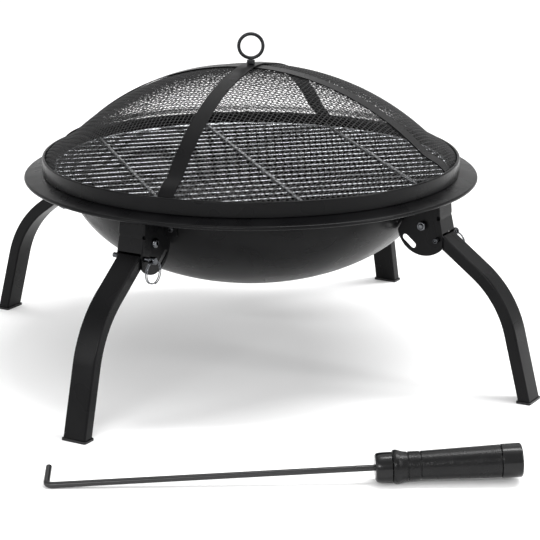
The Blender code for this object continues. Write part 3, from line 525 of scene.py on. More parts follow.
def placed(name, data):
    """A new object in the scene."""
    made = bpy.data.objects.new(name, data)
    bpy.context.scene.collection.objects.link(made)
    return made


def combined(mesh, operation, others, edge=0.0):
    """A mesh after a Boolean with each of the others, its sharp edges broken where edge is given."""
    blank = placed(mesh.name, smoothed(mesh))
    helpers = [blank]
    for other in others:
        tool = placed(other.name + "_tool", smoothed(other))
        helpers.append(tool)
        step = blank.modifiers.new(other.name, "BOOLEAN")
        step.operation = operation
        step.solver = "EXACT"
        step.object = tool
    if edge:
        broken = blank.modifiers.new("broken_edges", "BEVEL")
        broken.width = edge
        broken.segments = 2
        broken.limit_method = "ANGLE"
        broken.angle_limit = radians(40)
    bpy.context.view_layer.update()
    made = bpy.data.meshes.new_from_object(blank.evaluated_get(bpy.context.evaluated_depsgraph_get()))
    made.name = mesh.name + "_cut"
    for tool in helpers:
        bpy.data.objects.remove(tool)
    return made


def rounded(mesh, edges_wanted, radius, steps):
    """Rounds the edges for which edges_wanted(start, end) is true."""
    shape = bmesh.new()
    shape.from_mesh(mesh)
    chosen = [edge for edge in shape.edges if edges_wanted(edge.verts[0].co, edge.verts[1].co)]
    bmesh.ops.bevel(shape, geom=chosen, offset=radius, segments=steps, profile=0.5, affect="EDGES")
    return written(shape, mesh)


def piece(name, mesh, place, finish, body, slot, *nodes, sharp_over=32):
    """A finished piece at its place, riding on its body and standing for its nodes."""
    mesh = mesh.copy()
    mesh.name = name
    mesh.transform(place)
    smoothed(mesh, sharp_over)
    mesh.materials.clear()
    mesh.materials.append(finish)
    made = placed(name, mesh)
    if sharp_over < 180:
        made.modifiers.new("even_flats", "WEIGHTED_NORMAL").keep_sharp = True
    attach(made, body)
    if nodes:
        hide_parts(*nodes)


# Bowl: up the inner face, over the rim, round the hem, back under the flange and down the outer face.
bend = RIM_BEND + BOWL_SHEET
flat = radians(90) - FLANGE_SLOPE
hem_x = BRIM_R - HEM_R
hem_z = flange_z(hem_x) - HEM_R / cos(FLANGE_SLOPE)
tuck = acos((HEM_R - BOWL_SHEET) / HEM_R)
quarter = [radians(90) * step / WALL_STEPS for step in range(WALL_STEPS + 1)]
bowl_profile = [
    ((BOWL_R - BOWL_SHEET) * sin(a), RIM_Z - (BOWL_DEPTH - BOWL_SHEET) * cos(a)) for a in quarter
][:-1]
bowl_profile += arc(RIM_X, RIM_Z, bend, pi, flat, 14)
bowl_profile += arc(hem_x, hem_z, HEM_R, flat, flat + tuck - 2 * pi, 20)
bowl_profile += arc(RIM_X, RIM_Z, RIM_BEND, flat, pi, 12)
bowl_profile += [(BOWL_R * sin(a), RIM_Z - BOWL_DEPTH * cos(a)) for a in reversed(quarter[:-1])]
pressed_bowl = spun("pressed_bowl", bowl_profile, PRESSED_SIDES)
piece("pressed_bowl", pressed_bowl, PIT, black_coat, "bowl", "black_coat", "fire_bowl")

# Lid band: a hoop with its top edge rolled in, and a lip below that follows the flange.
hoop_low = flange_z(HOOP_R, GAP)
hoop_top = hoop_low + HOOP_HEIGHT
bead_x = HOOP_R - HOOP_BEAD
bead_z = hoop_top - HOOP_BEAD
lip_r = HOOP_R - HOOP_LIP
band_r = HOOP_R - HOOP_SHEET
lip_rise = HOOP_SHEET / cos(FLANGE_SLOPE)
roll = acos((band_r - bead_x) / HOOP_BEAD)
fold = HOOP_SHEET * 0.8
hoop_profile = arc(HOOP_R - fold, hoop_low + fold * 1.1, fold, 0, radians(-98), 5)
hoop_profile += [
    (lip_r, flange_z(lip_r, GAP)),
    (lip_r, flange_z(lip_r, GAP) + lip_rise),
    (band_r, flange_z(band_r, GAP) + lip_rise),
]
hoop_profile += arc(bead_x, bead_z, HOOP_BEAD, -roll, -2 * pi, 20)
lid_band = spun("lid_band", hoop_profile, PRESSED_SIDES)
piece("lid_band", lid_band, PIT, black_coat, "lid", "black_coat", "lid_hoop")

# Woven dome: two sets of wires, each going over and under the other, laid out flat and pressed up.
seat_z = flange_z(MESH_SEAT_R, GAP) + lip_rise + GAP
dome_z = seat_z + DOME_RISE - DOME_R
weave_r = DOME_R - MESH_CRIMP - MESH_WIRE
bead_inner = HOOP_R - 2 * HOOP_BEAD
flat_reach = weave_r * asin((bead_inner - MESH_CRIMP) / weave_r)
flare_rise = bead_z - HOOP_BEAD - MESH_WIRE - dome_z - sqrt(weave_r**2 - bead_inner**2)


def soft_step(value, start, end):
    """How far a value has gone from start to end, from 0 to 1, with both ends eased."""
    share = min(max((value - start) / (end - start), 0), 1)
    return share * share * (3 - 2 * share)


def rim_flare(radius):
    """How far the dome is pressed up near its rim, so that its edge is held under the hoop's bead."""
    return flare_rise * soft_step(radius, FLARE_FROM, bead_inner)


def on_dome(u, v, lift):
    """The point of the dome that a point of the flat mesh is pressed to, and the normal there."""
    angle = hypot(u, v) / weave_r
    turn = atan2(v, u) + FIRST_STRAP
    normal = Vector((sin(angle) * cos(turn), sin(angle) * sin(turn), cos(angle)))
    point = Vector((0, 0, dome_z)) + normal * (weave_r + lift)
    return point + Vector((0, 0, rim_flare(hypot(point.x, point.y)))), normal


def woven_wires(name, crosswise):
    """All the wires of one direction, each bent over and under those of the other."""
    wires = []
    last = int(flat_reach / MESH_PITCH - 0.5)
    for wire in range(-last - 1, last + 1):
        offset = (wire + 0.5) * MESH_PITCH
        half = sqrt(max(flat_reach**2 - offset**2, 0))
        steps = int(half / MESH_PITCH - 0.5)
        knots = [(knot, (knot + 0.5) * MESH_PITCH) for knot in range(-steps - 1, steps + 1)]
        knots = [(knots[0][0] - 1, -half)] + knots + [(knots[-1][0] + 1, half)]
        run = []
        for knot, at in knots:
            lift = MESH_CRIMP if (wire + knot + crosswise) % 2 else -MESH_CRIMP
            if abs(at) == half:
                lift = 0
            u, v = (offset, at) if crosswise else (at, offset)
            run.append(on_dome(u, v, lift))
        sections = []
        for here, (centre, normal) in enumerate(run):
            before = run[max(here - 1, 0)][0]
            after = run[min(here + 1, len(run) - 1)][0]
            side = normal.cross(after - before).normalized() * MESH_WIRE
            rise = normal * MESH_WIRE
            sections.append([centre + side, centre + rise, centre - side, centre - rise])
        wires.append(skinned("wire", sections))
    return joined(name, wires)


for name, crosswise in (("dome_warp_wires", False), ("dome_weft_wires", True)):
    wires = woven_wires(name, crosswise)
    piece(name, wires, PIT, woven_wire, "lid", "woven_mesh", "lid_mesh", sharp_over=180)

# Straps over the dome. The second one steps up over the first at the crown.
strap_inner = DOME_R + GAP
strap_outer = strap_inner + STRAP_SHEET
strap_reach = asin((bead_inner - GAP) / strap_outer)
cross_lift = STRAP_SHEET + 2 * GAP
shoulder_out = asin(CROSSING_OUT / strap_outer)
shoulder_in = asin(CROSSING_IN / strap_outer)


def strap_mesh(name, step_up):
    """A flat bar bent over the dome, with slightly rounded edges."""
    side = STRAP_WIDTH / 2
    edge = STRAP_SHEET * 0.3
    section = [(-side, edge), (-side + edge, 0), (side - edge, 0), (side, edge)]
    section += [(side, STRAP_SHEET - edge), (side - edge, STRAP_SHEET)]
    section += [(-side + edge, STRAP_SHEET), (-side, STRAP_SHEET - edge)]
    rows = []
    for row in range(STRAP_STEPS + 1):
        angle = strap_reach * (2 * row / STRAP_STEPS - 1)
        lift = step_up * soft_step(abs(angle), shoulder_out, shoulder_in)
        bent = []
        for y, z in section:
            radius = strap_inner + lift + z
            out = radius * sin(angle)
            bent.append((out, y, dome_z + radius * cos(angle) + rim_flare(abs(out))))
        rows.append(bent)
    return skinned(name, rows)


for index, name in enumerate(("lid_strap_lower", "lid_strap_upper")):
    turned_place = PIT @ Matrix.Rotation(FIRST_STRAP + index * radians(90), 4, "Z")
    bent_bar = strap_mesh(name + "_bar", index * cross_lift)
    piece(name + "_bar", bent_bar, turned_place, black_coat, "lid", "black_coat", name)

# Lifting ring on its threaded stem, with the collar below it and the nut inside.
crown = dome_z + strap_outer + cross_lift + GAP
eye_z = crown + COLLAR_THICK + GAP + EYE_WIRE + EYE_R
inner_nut_top = dome_z + DOME_R - DOME_SHEET - 1.5 * GAP
stem_low = inner_nut_top - INNER_NUT_THICK - STEM_END
eye_points = [(x, 0, z) for x, z in arc(0, eye_z, EYE_R, 0, 2 * pi, 64)[:-1]]
stem_profile = [(0, eye_z - EYE_R), (STEM_R, eye_z - EYE_R), (STEM_R, stem_low + 0.0004)]
stem_profile += [(STEM_R - 0.0004, stem_low), (0, stem_low)]
stem = spun("lid_stem", stem_profile, 32)
lifting_ring = joined("lifting_ring", [swept("eye", eye_points, EYE_WIRE, 20, True), stem])
piece("lifting_ring", lifting_ring, PIT, black_oxide, "lid", "black_oxide", "lid_ring")

# Cooking grate: chromed ring, rods and supports, with a bead of weld at each joint.
ring_r = GRATE_R - GRATE_RING_WIRE
ring_z = flange_z(ring_r, GAP + GRATE_RING_WIRE)
rod_z = RIM_Z + bend + GAP + GRATE_ROD
support_z = rod_z + GRATE_ROD + GRATE_SUPPORT - WELD_SINK
rods_each_side = int((ring_r - GRATE_RING_WIRE) / GRATE_ROD_PITCH + 0.5)
grate_place = PIT @ Matrix.Rotation(GRATE_TURN, 4, "Z")


def weld(at, size, height):
    """A low bead of weld metal round a point."""
    shape = bmesh.new()
    place = Matrix.Translation(at) @ Matrix.Diagonal((size, size, height, 1))
    bmesh.ops.create_icosphere(shape, subdivisions=2, radius=1, matrix=place)
    return written(shape, bpy.data.meshes.new("weld"))


ring_line = [(x, y, ring_z) for x, y in arc(0, 0, ring_r, 0, 2 * pi, 180)[:-1]]
grate_wires = [swept("grate_ring", ring_line, GRATE_RING_WIRE, 14, True)]
offsets = [(number + 0.5) * GRATE_ROD_PITCH for number in range(-rods_each_side, rods_each_side)]
shares = [2 * step / GRATE_STEPS - 1 for step in range(GRATE_STEPS + 1)]
for offset in offsets:
    half = sqrt((ring_r - GRATE_ROD / 2) ** 2 - offset**2)
    rod_line = [(half * share, offset, rod_z) for share in shares]
    grate_wires.append(swept("grate_rod", rod_line, GRATE_ROD, 12))
    for end in (-half, half):
        grate_wires.append(weld((end, offset, rod_z - ROD_WELD_DROP), WELD_R, ROD_WELD_HEIGHT))
for number in (-1, 0, 1):
    across = number * GRATE_SUPPORT_PITCH
    half = sqrt((ring_r - GRATE_SUPPORT / 2) ** 2 - across**2)
    support_line = [(across, half * share, support_z) for share in shares]
    grate_wires.append(swept("grate_support", support_line, GRATE_SUPPORT, 12))
    for offset in offsets:
        if abs(offset) < half:
            grate_wires.append(weld((across, offset, rod_z + GRATE_ROD), CROSS_WELD_R, CROSS_WELD_HEIGHT))
    for end in (-half, half):
        grate_wires.append(weld((across, end, (ring_z + support_z) / 2), WELD_R, SUPPORT_WELD_HEIGHT))
wire_grate = joined("wire_grate", grate_wires)
piece("wire_grate", wire_grate, grate_place, chrome, "grate", "chromed_wire", "cooking_grate", sharp_over=50)


def leg_section(half_width, half_depth, corner):
    """Points round a rectangular tube's section, as (across, depth)."""
    points = []
    for across, depth, start in ((1, 1, 0), (-1, 1, 90), (-1, -1, 180), (1, -1, 270)):
        middle = (across * (half_width - corner), depth * (half_depth - corner))
        turn = radians(start)
        points += arc(*middle, corner, turn, turn + radians(90), CORNER_STEPS)
    return points


def leg_tube(name, half_width, half_depth, corner, tail, foot_z):
    """A bent tube seen from its pivot, cut off level at the foot."""
    section = leg_section(half_width, half_depth, corner)
    slopes = [LEG_SLOPE] * (UPPER_STEPS + 1)
    slopes += [LEG_SLOPE + (FOOT_SLOPE - LEG_SLOPE) * step / BEND_STEPS for step in range(BEND_STEPS + 1)]
    rows = []
    for index, slope in enumerate(slopes):
        x = LEG_UPPER * cos(LEG_SLOPE) + LEG_BEND * (sin(slope) - sin(LEG_SLOPE))
        z = -LEG_UPPER * sin(LEG_SLOPE) - LEG_BEND * (cos(LEG_SLOPE) - cos(slope))
        if index < UPPER_STEPS:
            along = -tail + (LEG_UPPER + tail) * index / UPPER_STEPS
            x = along * cos(LEG_SLOPE)
            z = -along * sin(LEG_SLOPE)
        lean, rise = sin(slope), cos(slope)
        rows.append([(x + depth * lean, across, z + depth * rise) for across, depth in section])
    for share in (0.34, 0.67, 1.0):
        cut = []
        for across, depth in section:
            high = z + depth * cos(FOOT_SLOPE)
            down = (high - foot_z) * share
            cut.append((x + depth * sin(FOOT_SLOPE) + down / tan(FOOT_SLOPE), across, high - down))
        rows.append(cut)
    return skinned(name, rows)


# Leg, seen from its pivot: hollow, drilled for the pivot and open round the lock pin.
foot_cut = CAP_THICK + GAP - PIVOT_Z
leg_blank = leg_tube("bent_leg", LEG_WIDTH / 2, LEG_DEPTH / 2, LEG_CORNER, LEG_TAIL, foot_cut)
inner_wide = LEG_WIDTH / 2 - LEG_WALL
inner_deep = LEG_DEPTH / 2 - LEG_WALL
hollow_ends = (LEG_TAIL + HOLLOW_OVER, foot_cut - HOLLOW_OVER)
leg_hollow = leg_tube("leg_hollow", inner_wide, inner_deep, LEG_INNER_CORNER, *hollow_ends)
pivot_hole = bar("pivot_hole", (0, -LEG_WIDTH, 0), (0, LEG_WIDTH, 0), PIVOT_R + GAP)
pin_clear = PIN_R + GAP
opened = NOTCH_SWEEP - LEG_SLOPE
pin_notch = arc(0, 0, PIN_FROM_PIVOT + pin_clear, opened, -LEG_SLOPE, 10)
pin_notch += arc(
    PIN_FROM_PIVOT * cos(LEG_SLOPE),
    -PIN_FROM_PIVOT * sin(LEG_SLOPE),
    pin_clear,
    -LEG_SLOPE,
    -LEG_SLOPE - pi,
    16,
)[1:-1]
pin_notch += arc(0, 0, PIN_FROM_PIVOT - pin_clear - NOTCH_SLACK, -LEG_SLOPE, opened, 8)
notch_block = slab("pin_notch", pin_notch, -LEG_WIDTH, LEG_WIDTH)
bent_leg = combined(leg_blank, "DIFFERENCE", [leg_hollow, pivot_hole, notch_block])

# Foot pad: soft-cornered, and a little proud of the tube all round.
pad_top = CAP_THICK - PIVOT_Z
pad_near, pad_far = FOOT_OUT - CAP_HALF_DEPTH, FOOT_OUT + CAP_HALF_DEPTH
pad_outline = [(pad_near, -PIVOT_Z), (pad_far, -PIVOT_Z), (pad_far, pad_top), (pad_near, pad_top)]
foot_pad = slab("foot_pad", pad_outline, -CAP_HALF_WIDTH, CAP_HALF_WIDTH)
rounded(foot_pad, lambda start, end: abs(start.z - end.z) > CAP_THICK / 2, LEG_CORNER, 6)
rounded(foot_pad, lambda start, end: min(start.z, end.z) > pad_top - TOUCH, CAP_EDGE, 3)

# Where the tab bolts go through the wall, seen from a leg station.
bolt_z = PIVOT_Z + TAB_OVER_PIVOT
bolt_side = BRACKET_OUT + TAB_REACH / 2
bolt_turn = asin(bolt_side / wall_r(bolt_z))
bolt_tilt = atan2((RIM_Z - bolt_z) / BOWL_DEPTH**2, wall_r(bolt_z) / BOWL_R**2)


def tab_bolt_place(side):
    """Place of a tab bolt, with its Z along the wall's outward normal."""
    turn = side * bolt_turn
    radius = wall_r(bolt_z)
    out = Matrix.Translation((radius * cos(turn), radius * sin(turn), bolt_z))
    return out @ Matrix.Rotation(turn, 4, "Z") @ Matrix.Rotation(radians(90) + bolt_tilt, 4, "Y")


# Bracket outline, seen from the side: down the bent web, round the lobe and up beside the bowl's wall.
web_top = PIVOT_X + WEB_TOP_OUT
web_notch = PIVOT_X + WEB_NOTCH_OUT
web_foot = PIVOT_X + WEB_FOOT_OUT
side_x = PIVOT_X + SIDE_OUT
notch_z = PIVOT_Z + NOTCH_OVER_PIVOT
lobe_x = PIVOT_X + LOBE_OUT
lobe_z = PIVOT_Z - LOBE_DROP
web_bottom = PIVOT_Z + (LEG_DEPTH / 2 + GAP) / cos(LEG_SLOPE)
web_bottom -= (web_foot - BRACKET_SHEET - PIVOT_X) * tan(LEG_SLOPE)


def beside_wall(radius):
    """Distance from the axis, along a side plate, of a circle this wide."""
    return sqrt(radius**2 - BRACKET_IN**2)


bracket_outline = [
    (web_top, flange_z(web_top, -BOWL_SHEET - 2 * GAP)),
    (web_notch + 0.0002, notch_z + 0.002),
    (web_notch + 0.0002, notch_z - 0.002),
    (web_foot, web_bottom),
]
for x, z in arc(lobe_x, lobe_z, LOBE_R, -acos((side_x - lobe_x) / LOBE_R), -pi, 40):
    bracket_outline.append((max(x, beside_wall(wall_r(z, 2 * GAP))), z))
for step in range(1, 12):
    z = lobe_z + (RIM_Z - lobe_z) * step / 12
    bracket_outline.append((beside_wall(wall_r(z, 2 * GAP)), z))
for x, z in arc(RIM_X, RIM_Z, RIM_BEND - 2 * GAP, pi, flat, 8):
    bracket_outline.append((beside_wall(x), min(z, flange_z(x, -BOWL_SHEET - 2 * GAP))))
bracket_blank = slab("bracket", bracket_outline, -BRACKET_OUT, BRACKET_OUT)
inner_fold = FOLD_R - BRACKET_SHEET * 0.6
lean = (web_top - web_notch) / (bracket_outline[0][1] - notch_z)
room_top = RIM_Z + 2 * SHEET_OVER
leg_room = slab(
    "leg_room",
    [
        (web_notch - BRACKET_SHEET + lean * (room_top - notch_z), room_top),
        (web_notch - BRACKET_SHEET, notch_z),
        (web_foot - BRACKET_SHEET, web_bottom),
        (web_foot + 2 * SHEET_OVER, web_bottom),
        (web_foot + 2 * SHEET_OVER, lobe_z - LOBE_R - SHEET_OVER),
        (BOWL_R - SHEET_REACH, lobe_z - LOBE_R - SHEET_OVER),
        (BOWL_R - SHEET_REACH, room_top),
    ],
    -BRACKET_IN,
    BRACKET_IN,
)


def on_web(low_x, high_x):
    """Picks the two upright folds between these distances from the axis, above the web's foot."""

    def chosen(start, end):
        upright = abs(start.z - end.z) > 0.001 and abs(start.y - end.y) < TOUCH
        inside = low_x - TOUCH < min(start.x, end.x) and max(start.x, end.x) < high_x + TOUCH
        return upright and inside and min(start.z, end.z) > web_bottom - TOUCH

    return chosen


rounded(bracket_blank, on_web(web_top, web_foot), FOLD_R, 5)
rounded(leg_room, on_web(web_notch - BRACKET_SHEET - 0.002, web_foot - BRACKET_SHEET), inner_fold, 3)
through = BRACKET_OUT + SHEET_OVER
bracket_cuts = [
    leg_room,
    bar("pivot_hole", (PIVOT_X, -through, PIVOT_Z), (PIVOT_X, through, PIVOT_Z), PIVOT_R + GAP, 32),
    bar("pin_hole", (PIN_X, -through, PIN_Z), (PIN_X, through, PIN_Z), PIN_R + GAP, 32),
]
slot_x = PIVOT_X + SLOT_FROM_PIVOT * cos(SLOT_ANGLE)
slot_z = PIVOT_Z + SLOT_FROM_PIVOT * sin(SLOT_ANGLE)
reach_x = -SLOT_TRAVEL / 2 * sin(SLOT_ANGLE)
reach_z = SLOT_TRAVEL / 2 * cos(SLOT_ANGLE)
slot_points = []
for end, turn in ((1, SLOT_ANGLE), (-1, SLOT_ANGLE + pi)):
    centre = (slot_x + end * reach_x, slot_z + end * reach_z)
    slot_points += arc(*centre, SLOT_WIDTH / 2, turn, turn + pi, 16)
bracket_cuts.append(slab("slot", slot_points, -through, through))
for side in (-1, 1):
    start = (web_notch - BRACKET_SHEET - NOTCH_SIZE / 2, side * BRACKET_OUT, notch_z)
    end = (web_notch + SHEET_OVER, side * BRACKET_OUT, notch_z)
    bracket_cuts.append(bar("fold_notch", start, end, NOTCH_SIZE, 24))

# Tabs: strips of the same sheet that lie against the wall, with rounded free corners.
tab_low = bolt_z - TAB_HEIGHT / 2
tab_high = tab_low + TAB_HEIGHT
tab_far = BRACKET_OUT + TAB_REACH
tab_levels = [tab_low + TAB_HEIGHT * step / 8 for step in range(9)]
tab_profile = [(wall_r(z, 2 * GAP + BRACKET_SHEET), z) for z in reversed(tab_levels)]
tab_profile += [(wall_r(z, 2 * GAP), z) for z in tab_levels]
block_in, block_out = BOWL_R - TAB_BLOCK, BOWL_R + TAB_BLOCK
block_outline = [(block_in, tab_low), (block_out, tab_low), (block_out, tab_high), (block_in, tab_high)]


def free_corner(start, end):
    """Picks the edges at a tab's free corners, which run straight out of the wall."""
    return abs(start.x - end.x) > TAB_BLOCK and min(abs(start.y), abs(end.y)) > tab_far - TOUCH


tabs = []
for side in (-1, 1):
    low, high = sorted((side * (BRACKET_IN + BRACKET_SHEET / 2), side * tab_far))
    block = rounded(slab("tab_block", block_outline, low, high), free_corner, TAB_CORNER, 6)
    tabs.append(combined(block, "INTERSECT", [spun("tab_strip", tab_profile, 360)]))
    hole = bar("tab_hole", (0, 0, -0.01), (0, 0, 0.01), BOWL_BOLT_R + GAP, 20)
    hole.transform(tab_bolt_place(side))
    bracket_cuts.append(hole)
bracket_shape = combined(bracket_blank, "UNION", tabs)
bracket_shape = combined(bracket_shape, "DIFFERENCE", bracket_cuts, SHEET_EDGE)


def domed_bolt(name, shank_r, head_r, head, seat, tip, socket):
    """A button-head bolt along Z, with a rounded head above its seat and a broken edge at its tip."""
    rise = head * 0.22
    crown_r = head_r * 0.42
    profile = [(0, seat + head), (crown_r, seat + head)]
    for step in range(1, 11):
        turn = radians(90) * step / 10
        out = crown_r + (head_r - crown_r) * sin(turn)
        profile.append((out, seat + rise + (head - rise) * cos(turn)))
    profile += [(head_r, seat + 0.0001), (head_r - 0.0001, seat), (shank_r, seat)]
    profile += [(shank_r, 0.0005 - tip), (shank_r - 0.0005, -tip), (0, -tip)]
    blank = spun(name, profile, 48)
    low, high = (0, 0, seat + head * 0.35), (0, 0, seat + head * 1.5)
    drive = bar(name + "_socket", low, high, socket / 2 / HEX_FLAT, 6)
    return combined(blank, "DIFFERENCE", [drive], BOLT_EDGE)


def hex_nut(name, across, thick, bore):
    """A hex nut from z = 0 up, with both faces chamfered at the corners and a countersunk bore."""
    corner_r = across / 2 / HEX_FLAT
    face_r = across * 0.47
    fall = (corner_r - face_r) * tan(radians(30))
    side = corner_r + 0.0001
    chamfer = [(0, 0), (face_r, 0), (side, fall), (side, thick - fall), (face_r, thick), (0, thick)]
    turned_blank = spun(name + "_chamfer", chamfer, 48)
    prism = bar(name, (0, 0, -0.001), (0, 0, thick + 0.001), corner_r, 6)
    shaped = combined(prism, "INTERSECT", [turned_blank])
    bore_profile = [(0, -0.001), (bore + 0.0014, -0.001), (bore, 0.0004), (bore, thick - 0.0004)]
    bore_profile += [(bore + 0.0014, thick + 0.001), (0, thick + 0.001)]
    return combined(shaped, "DIFFERENCE", [spun(name + "_bore", bore_profile, 32)], NUT_EDGE)


# Tab bolts and nuts, with z = 0 on the wall's outer face.
bolt_seat = BRACKET_SHEET + 3 * GAP
facet = BOWL_R * (1 - cos(pi / BOWL_SIDES))
nut_seat = BOWL_SHEET + facet + 2 * GAP
bolt_tip = nut_seat + BOWL_NUT_THICK + BOLT_END
tab_bolt = domed_bolt("tab_bolt", BOWL_BOLT_R, BOWL_BOLT_HEAD_R, BOWL_BOLT_HEAD, bolt_seat, bolt_tip, 0.0025)
tab_nut = hex_nut("tab_nut", BOWL_NUT_ACROSS, BOWL_NUT_THICK, BOWL_BOLT_R + GAP)
tab_nut.transform(Matrix.Translation((0, 0, -nut_seat - BOWL_NUT_THICK)))

# Pivot bolt and nut, with Z along the pivot.
pivot_seat = BRACKET_OUT + GAP
pivot_tip = pivot_seat + PIVOT_NUT_THICK + BOLT_END
pivot_bolt = domed_bolt("pivot_bolt", PIVOT_R, PIVOT_HEAD_R, PIVOT_HEAD, pivot_seat, pivot_tip, 0.004)
pivot_nut = hex_nut("pivot_nut", PIVOT_NUT_ACROSS, PIVOT_NUT_THICK, PIVOT_R + GAP)
pivot_nut.transform(Matrix.Translation((0, 0, -pivot_seat - PIVOT_NUT_THICK)))

# Lock pin: a turned head with a cross hole, a plain shank and a countersunk tip.
pin_tip = BRACKET_OUT + PIN_TAIL
head_low = PIN_EYE - PIN_HEAD / 2
head_top = PIN_EYE + PIN_HEAD / 2
pin_profile = [(0, head_top), (PIN_HEAD_R - 0.0007, head_top), (PIN_HEAD_R - 0.0002, head_top - 0.0002)]
pin_profile += [(PIN_HEAD_R, head_top - 0.0007), (PIN_HEAD_R, head_low + 0.0004)]
pin_profile += [(PIN_HEAD_R - 0.0004, head_low)]
pin_profile += [(PIN_R + 0.0004, head_low), (PIN_R, head_low - 0.0004), (PIN_R, 0.0005 - pin_tip)]
pin_profile += [(PIN_R - 0.0002, 0.0001 - pin_tip), (PIN_R - 0.0005, -pin_tip), (PIN_R - 0.0010, -pin_tip)]
pin_profile += [(PIN_R - 0.0013, 0.0016 - pin_tip), (0, 0.0022 - pin_tip)]
eye_cut = bar("pin_eye", (-0.01, 0, PIN_EYE), (0.01, 0, PIN_EYE), PIN_EYE_R, 32)
lock_pin = combined(spun("lock_pin", pin_profile, 48), "DIFFERENCE", [eye_cut], PIN_EDGE)

# Split pull ring: two turns of wire hanging from the pin's eye.
ring_line = []
for step in range(2 * RING_STEPS + 1):
    angle = radians(-90) + 2 * pi * step / RING_STEPS
    along = RING_PITCH * (step / RING_STEPS - 1)
    ring_line.append((RING_R * cos(angle), along, GAP - RING_R + RING_R * sin(angle)))
split_ring = swept("split_ring", ring_line, RING_WIRE, 14)

tab_fasteners = (
    ("button_tab_bolt_", tab_bolt, black_oxide, "black_oxide", "bowl_bolt_"),
    ("hex_tab_nut_", tab_nut, zinc, "zinc_plate", "bowl_nut_"),
)
sideways = Matrix.Rotation(radians(-90), 4, "X")
for corner, station in zip(CORNERS, STATIONS):
    pivot = station @ Matrix.Translation((PIVOT_X, 0, PIVOT_Z))
    pin = station @ Matrix.Translation((PIN_X, 0, PIN_Z))
    eye = pin @ Matrix.Translation((0, PIN_EYE, 0))
    leg_body = "leg_" + corner
    pin_body = "lock_pin_" + corner
    ring_body = "pull_ring_" + corner
    for name, mesh, place, finish, body, slot, node in (
        ("folded_bracket_", bracket_shape, station, black_coat, "bowl", "black_coat", "leg_bracket_"),
        ("button_pivot_bolt_", pivot_bolt, pivot @ sideways, dark_zinc, "bowl", "zinc_plate", "pivot_bolt_"),
        ("hex_pivot_nut_", pivot_nut, pivot @ sideways, dark_zinc, "bowl", "zinc_plate", "pivot_nut_"),
        ("bent_leg_", bent_leg, pivot, black_coat, leg_body, "black_coat", "leg_"),
        ("foot_pad_", foot_pad, pivot, smooth_plastic, leg_body, "black_plastic", "foot_cap_"),
        ("turned_lock_pin_", lock_pin, pin @ sideways, pin_zinc, pin_body, "zinc_plate", "lock_pin_"),
        ("split_pull_ring_", split_ring, eye, ring_zinc, ring_body, "zinc_plate", "pull_ring_"),
    ):
        piece(name + corner, mesh, place, finish, body, slot, node + corner)
    for side, hand in ((-1, "_a"), (1, "_b")):
        place = station @ tab_bolt_place(side)
        for name, mesh, finish, slot, node in tab_fasteners:
            piece(name + corner + hand, mesh, place, finish, "bowl", slot, node + corner + hand)

# Collar under the lifting ring, and the nut inside the crown.
stem_hole = STEM_R + GAP
collar_low = [(COLLAR_R - 0.0006, crown), (stem_hole, crown)]
collar_top = crown + COLLAR_THICK
collar_in = COLLAR_R - COLLAR_ROUND
collar_high = [(stem_hole, collar_top), (collar_in, collar_top)]
collar_side = arc(collar_in, collar_top - COLLAR_ROUND, COLLAR_ROUND, radians(90), 0, 6)[1:]
ring_collar = spun("ring_collar", collar_low + collar_high + collar_side + [(COLLAR_R, crown + 0.0006)], 64)
piece("ring_collar", ring_collar, PIT, black_oxide, "lid", "black_oxide", "lid_ring_nut")
crown_nut = hex_nut("crown_nut", INNER_NUT_ACROSS, INNER_NUT_THICK, stem_hole)
crown_nut_place = PIT @ Matrix.Translation((0, 0, inner_nut_top - INNER_NUT_THICK))
piece("crown_nut", crown_nut, crown_nut_place, zinc, "lid", "zinc_plate", "lid_inner_nut")

# Poker, seen from the corner of its hook: Z runs to the handle, X down, Y back.
bulge_at = COLLAR_AT + COLLAR_LENGTH + BULGE_BACK
poker_tilt = asin((BULGE_R - POKER_ROD) / bulge_at)
poker_place = Matrix.Translation((-POKER_LEFT, PIT_Y - POKER_FRONT + POKER_ROD, POKER_ROD))
poker_place = poker_place @ Matrix.Rotation(POKER_TURN, 4, "Z")
poker_place = poker_place @ Matrix.Rotation(radians(90) - poker_tilt, 4, "Y")
to_handle = Vector((0, 0, 1))
hook_side = Vector((-sin(HOOK_LIFT), cos(HOOK_LIFT), 0))
to_hook = to_handle * cos(HOOK_TURN) + hook_side * sin(HOOK_TURN)
tangent = HOOK_BEND / tan(HOOK_TURN / 2)
bend_centre = (to_hook + to_handle).normalized() * (HOOK_BEND / sin(HOOK_TURN / 2))
from_hook = to_hook * tangent - bend_centre
from_rod = to_handle * tangent - bend_centre
turn_left = pi - HOOK_TURN
rod_line = [to_hook * (HOOK_LENGTH + (tangent - HOOK_LENGTH) * step / 4) for step in range(4)]
for step in range(19):
    near_hook = sin(turn_left * (1 - step / 18)) / sin(turn_left)
    near_rod = sin(turn_left * step / 18) / sin(turn_left)
    rod_line.append(bend_centre + from_hook * near_hook + from_rod * near_rod)
grip_at = COLLAR_AT + COLLAR_LENGTH + GAP
rod_end = grip_at + ROD_IN_GRIP
rod_line += [to_handle * (tangent + (rod_end - tangent) * step / 16) for step in range(1, 17)]
hooked_rod = swept("hooked_rod", rod_line, POKER_ROD - ROD_INSIDE, 32)
piece("hooked_rod", hooked_rod, poker_place, poker_coat, "poker", "black_coat", "poker_rod")


def eased(points, steps):
    """A smooth line through these points, for a moulded or turned outline."""
    line = []
    for here in range(len(points) - 1):
        near = [points[min(max(here + shift, 0), len(points) - 1)] for shift in (-1, 0, 1, 2)]
        for step in range(steps):
            t = step / steps
            pull = (2 * t**2 - t - t**3, 2 - 5 * t**2 + 3 * t**3, t + 4 * t**2 - 3 * t**3, t**3 - t**2)
            line.append(tuple(sum(p * value for p, value in zip(pull, values)) / 2 for values in zip(*near)))
    return line + [points[-1]]


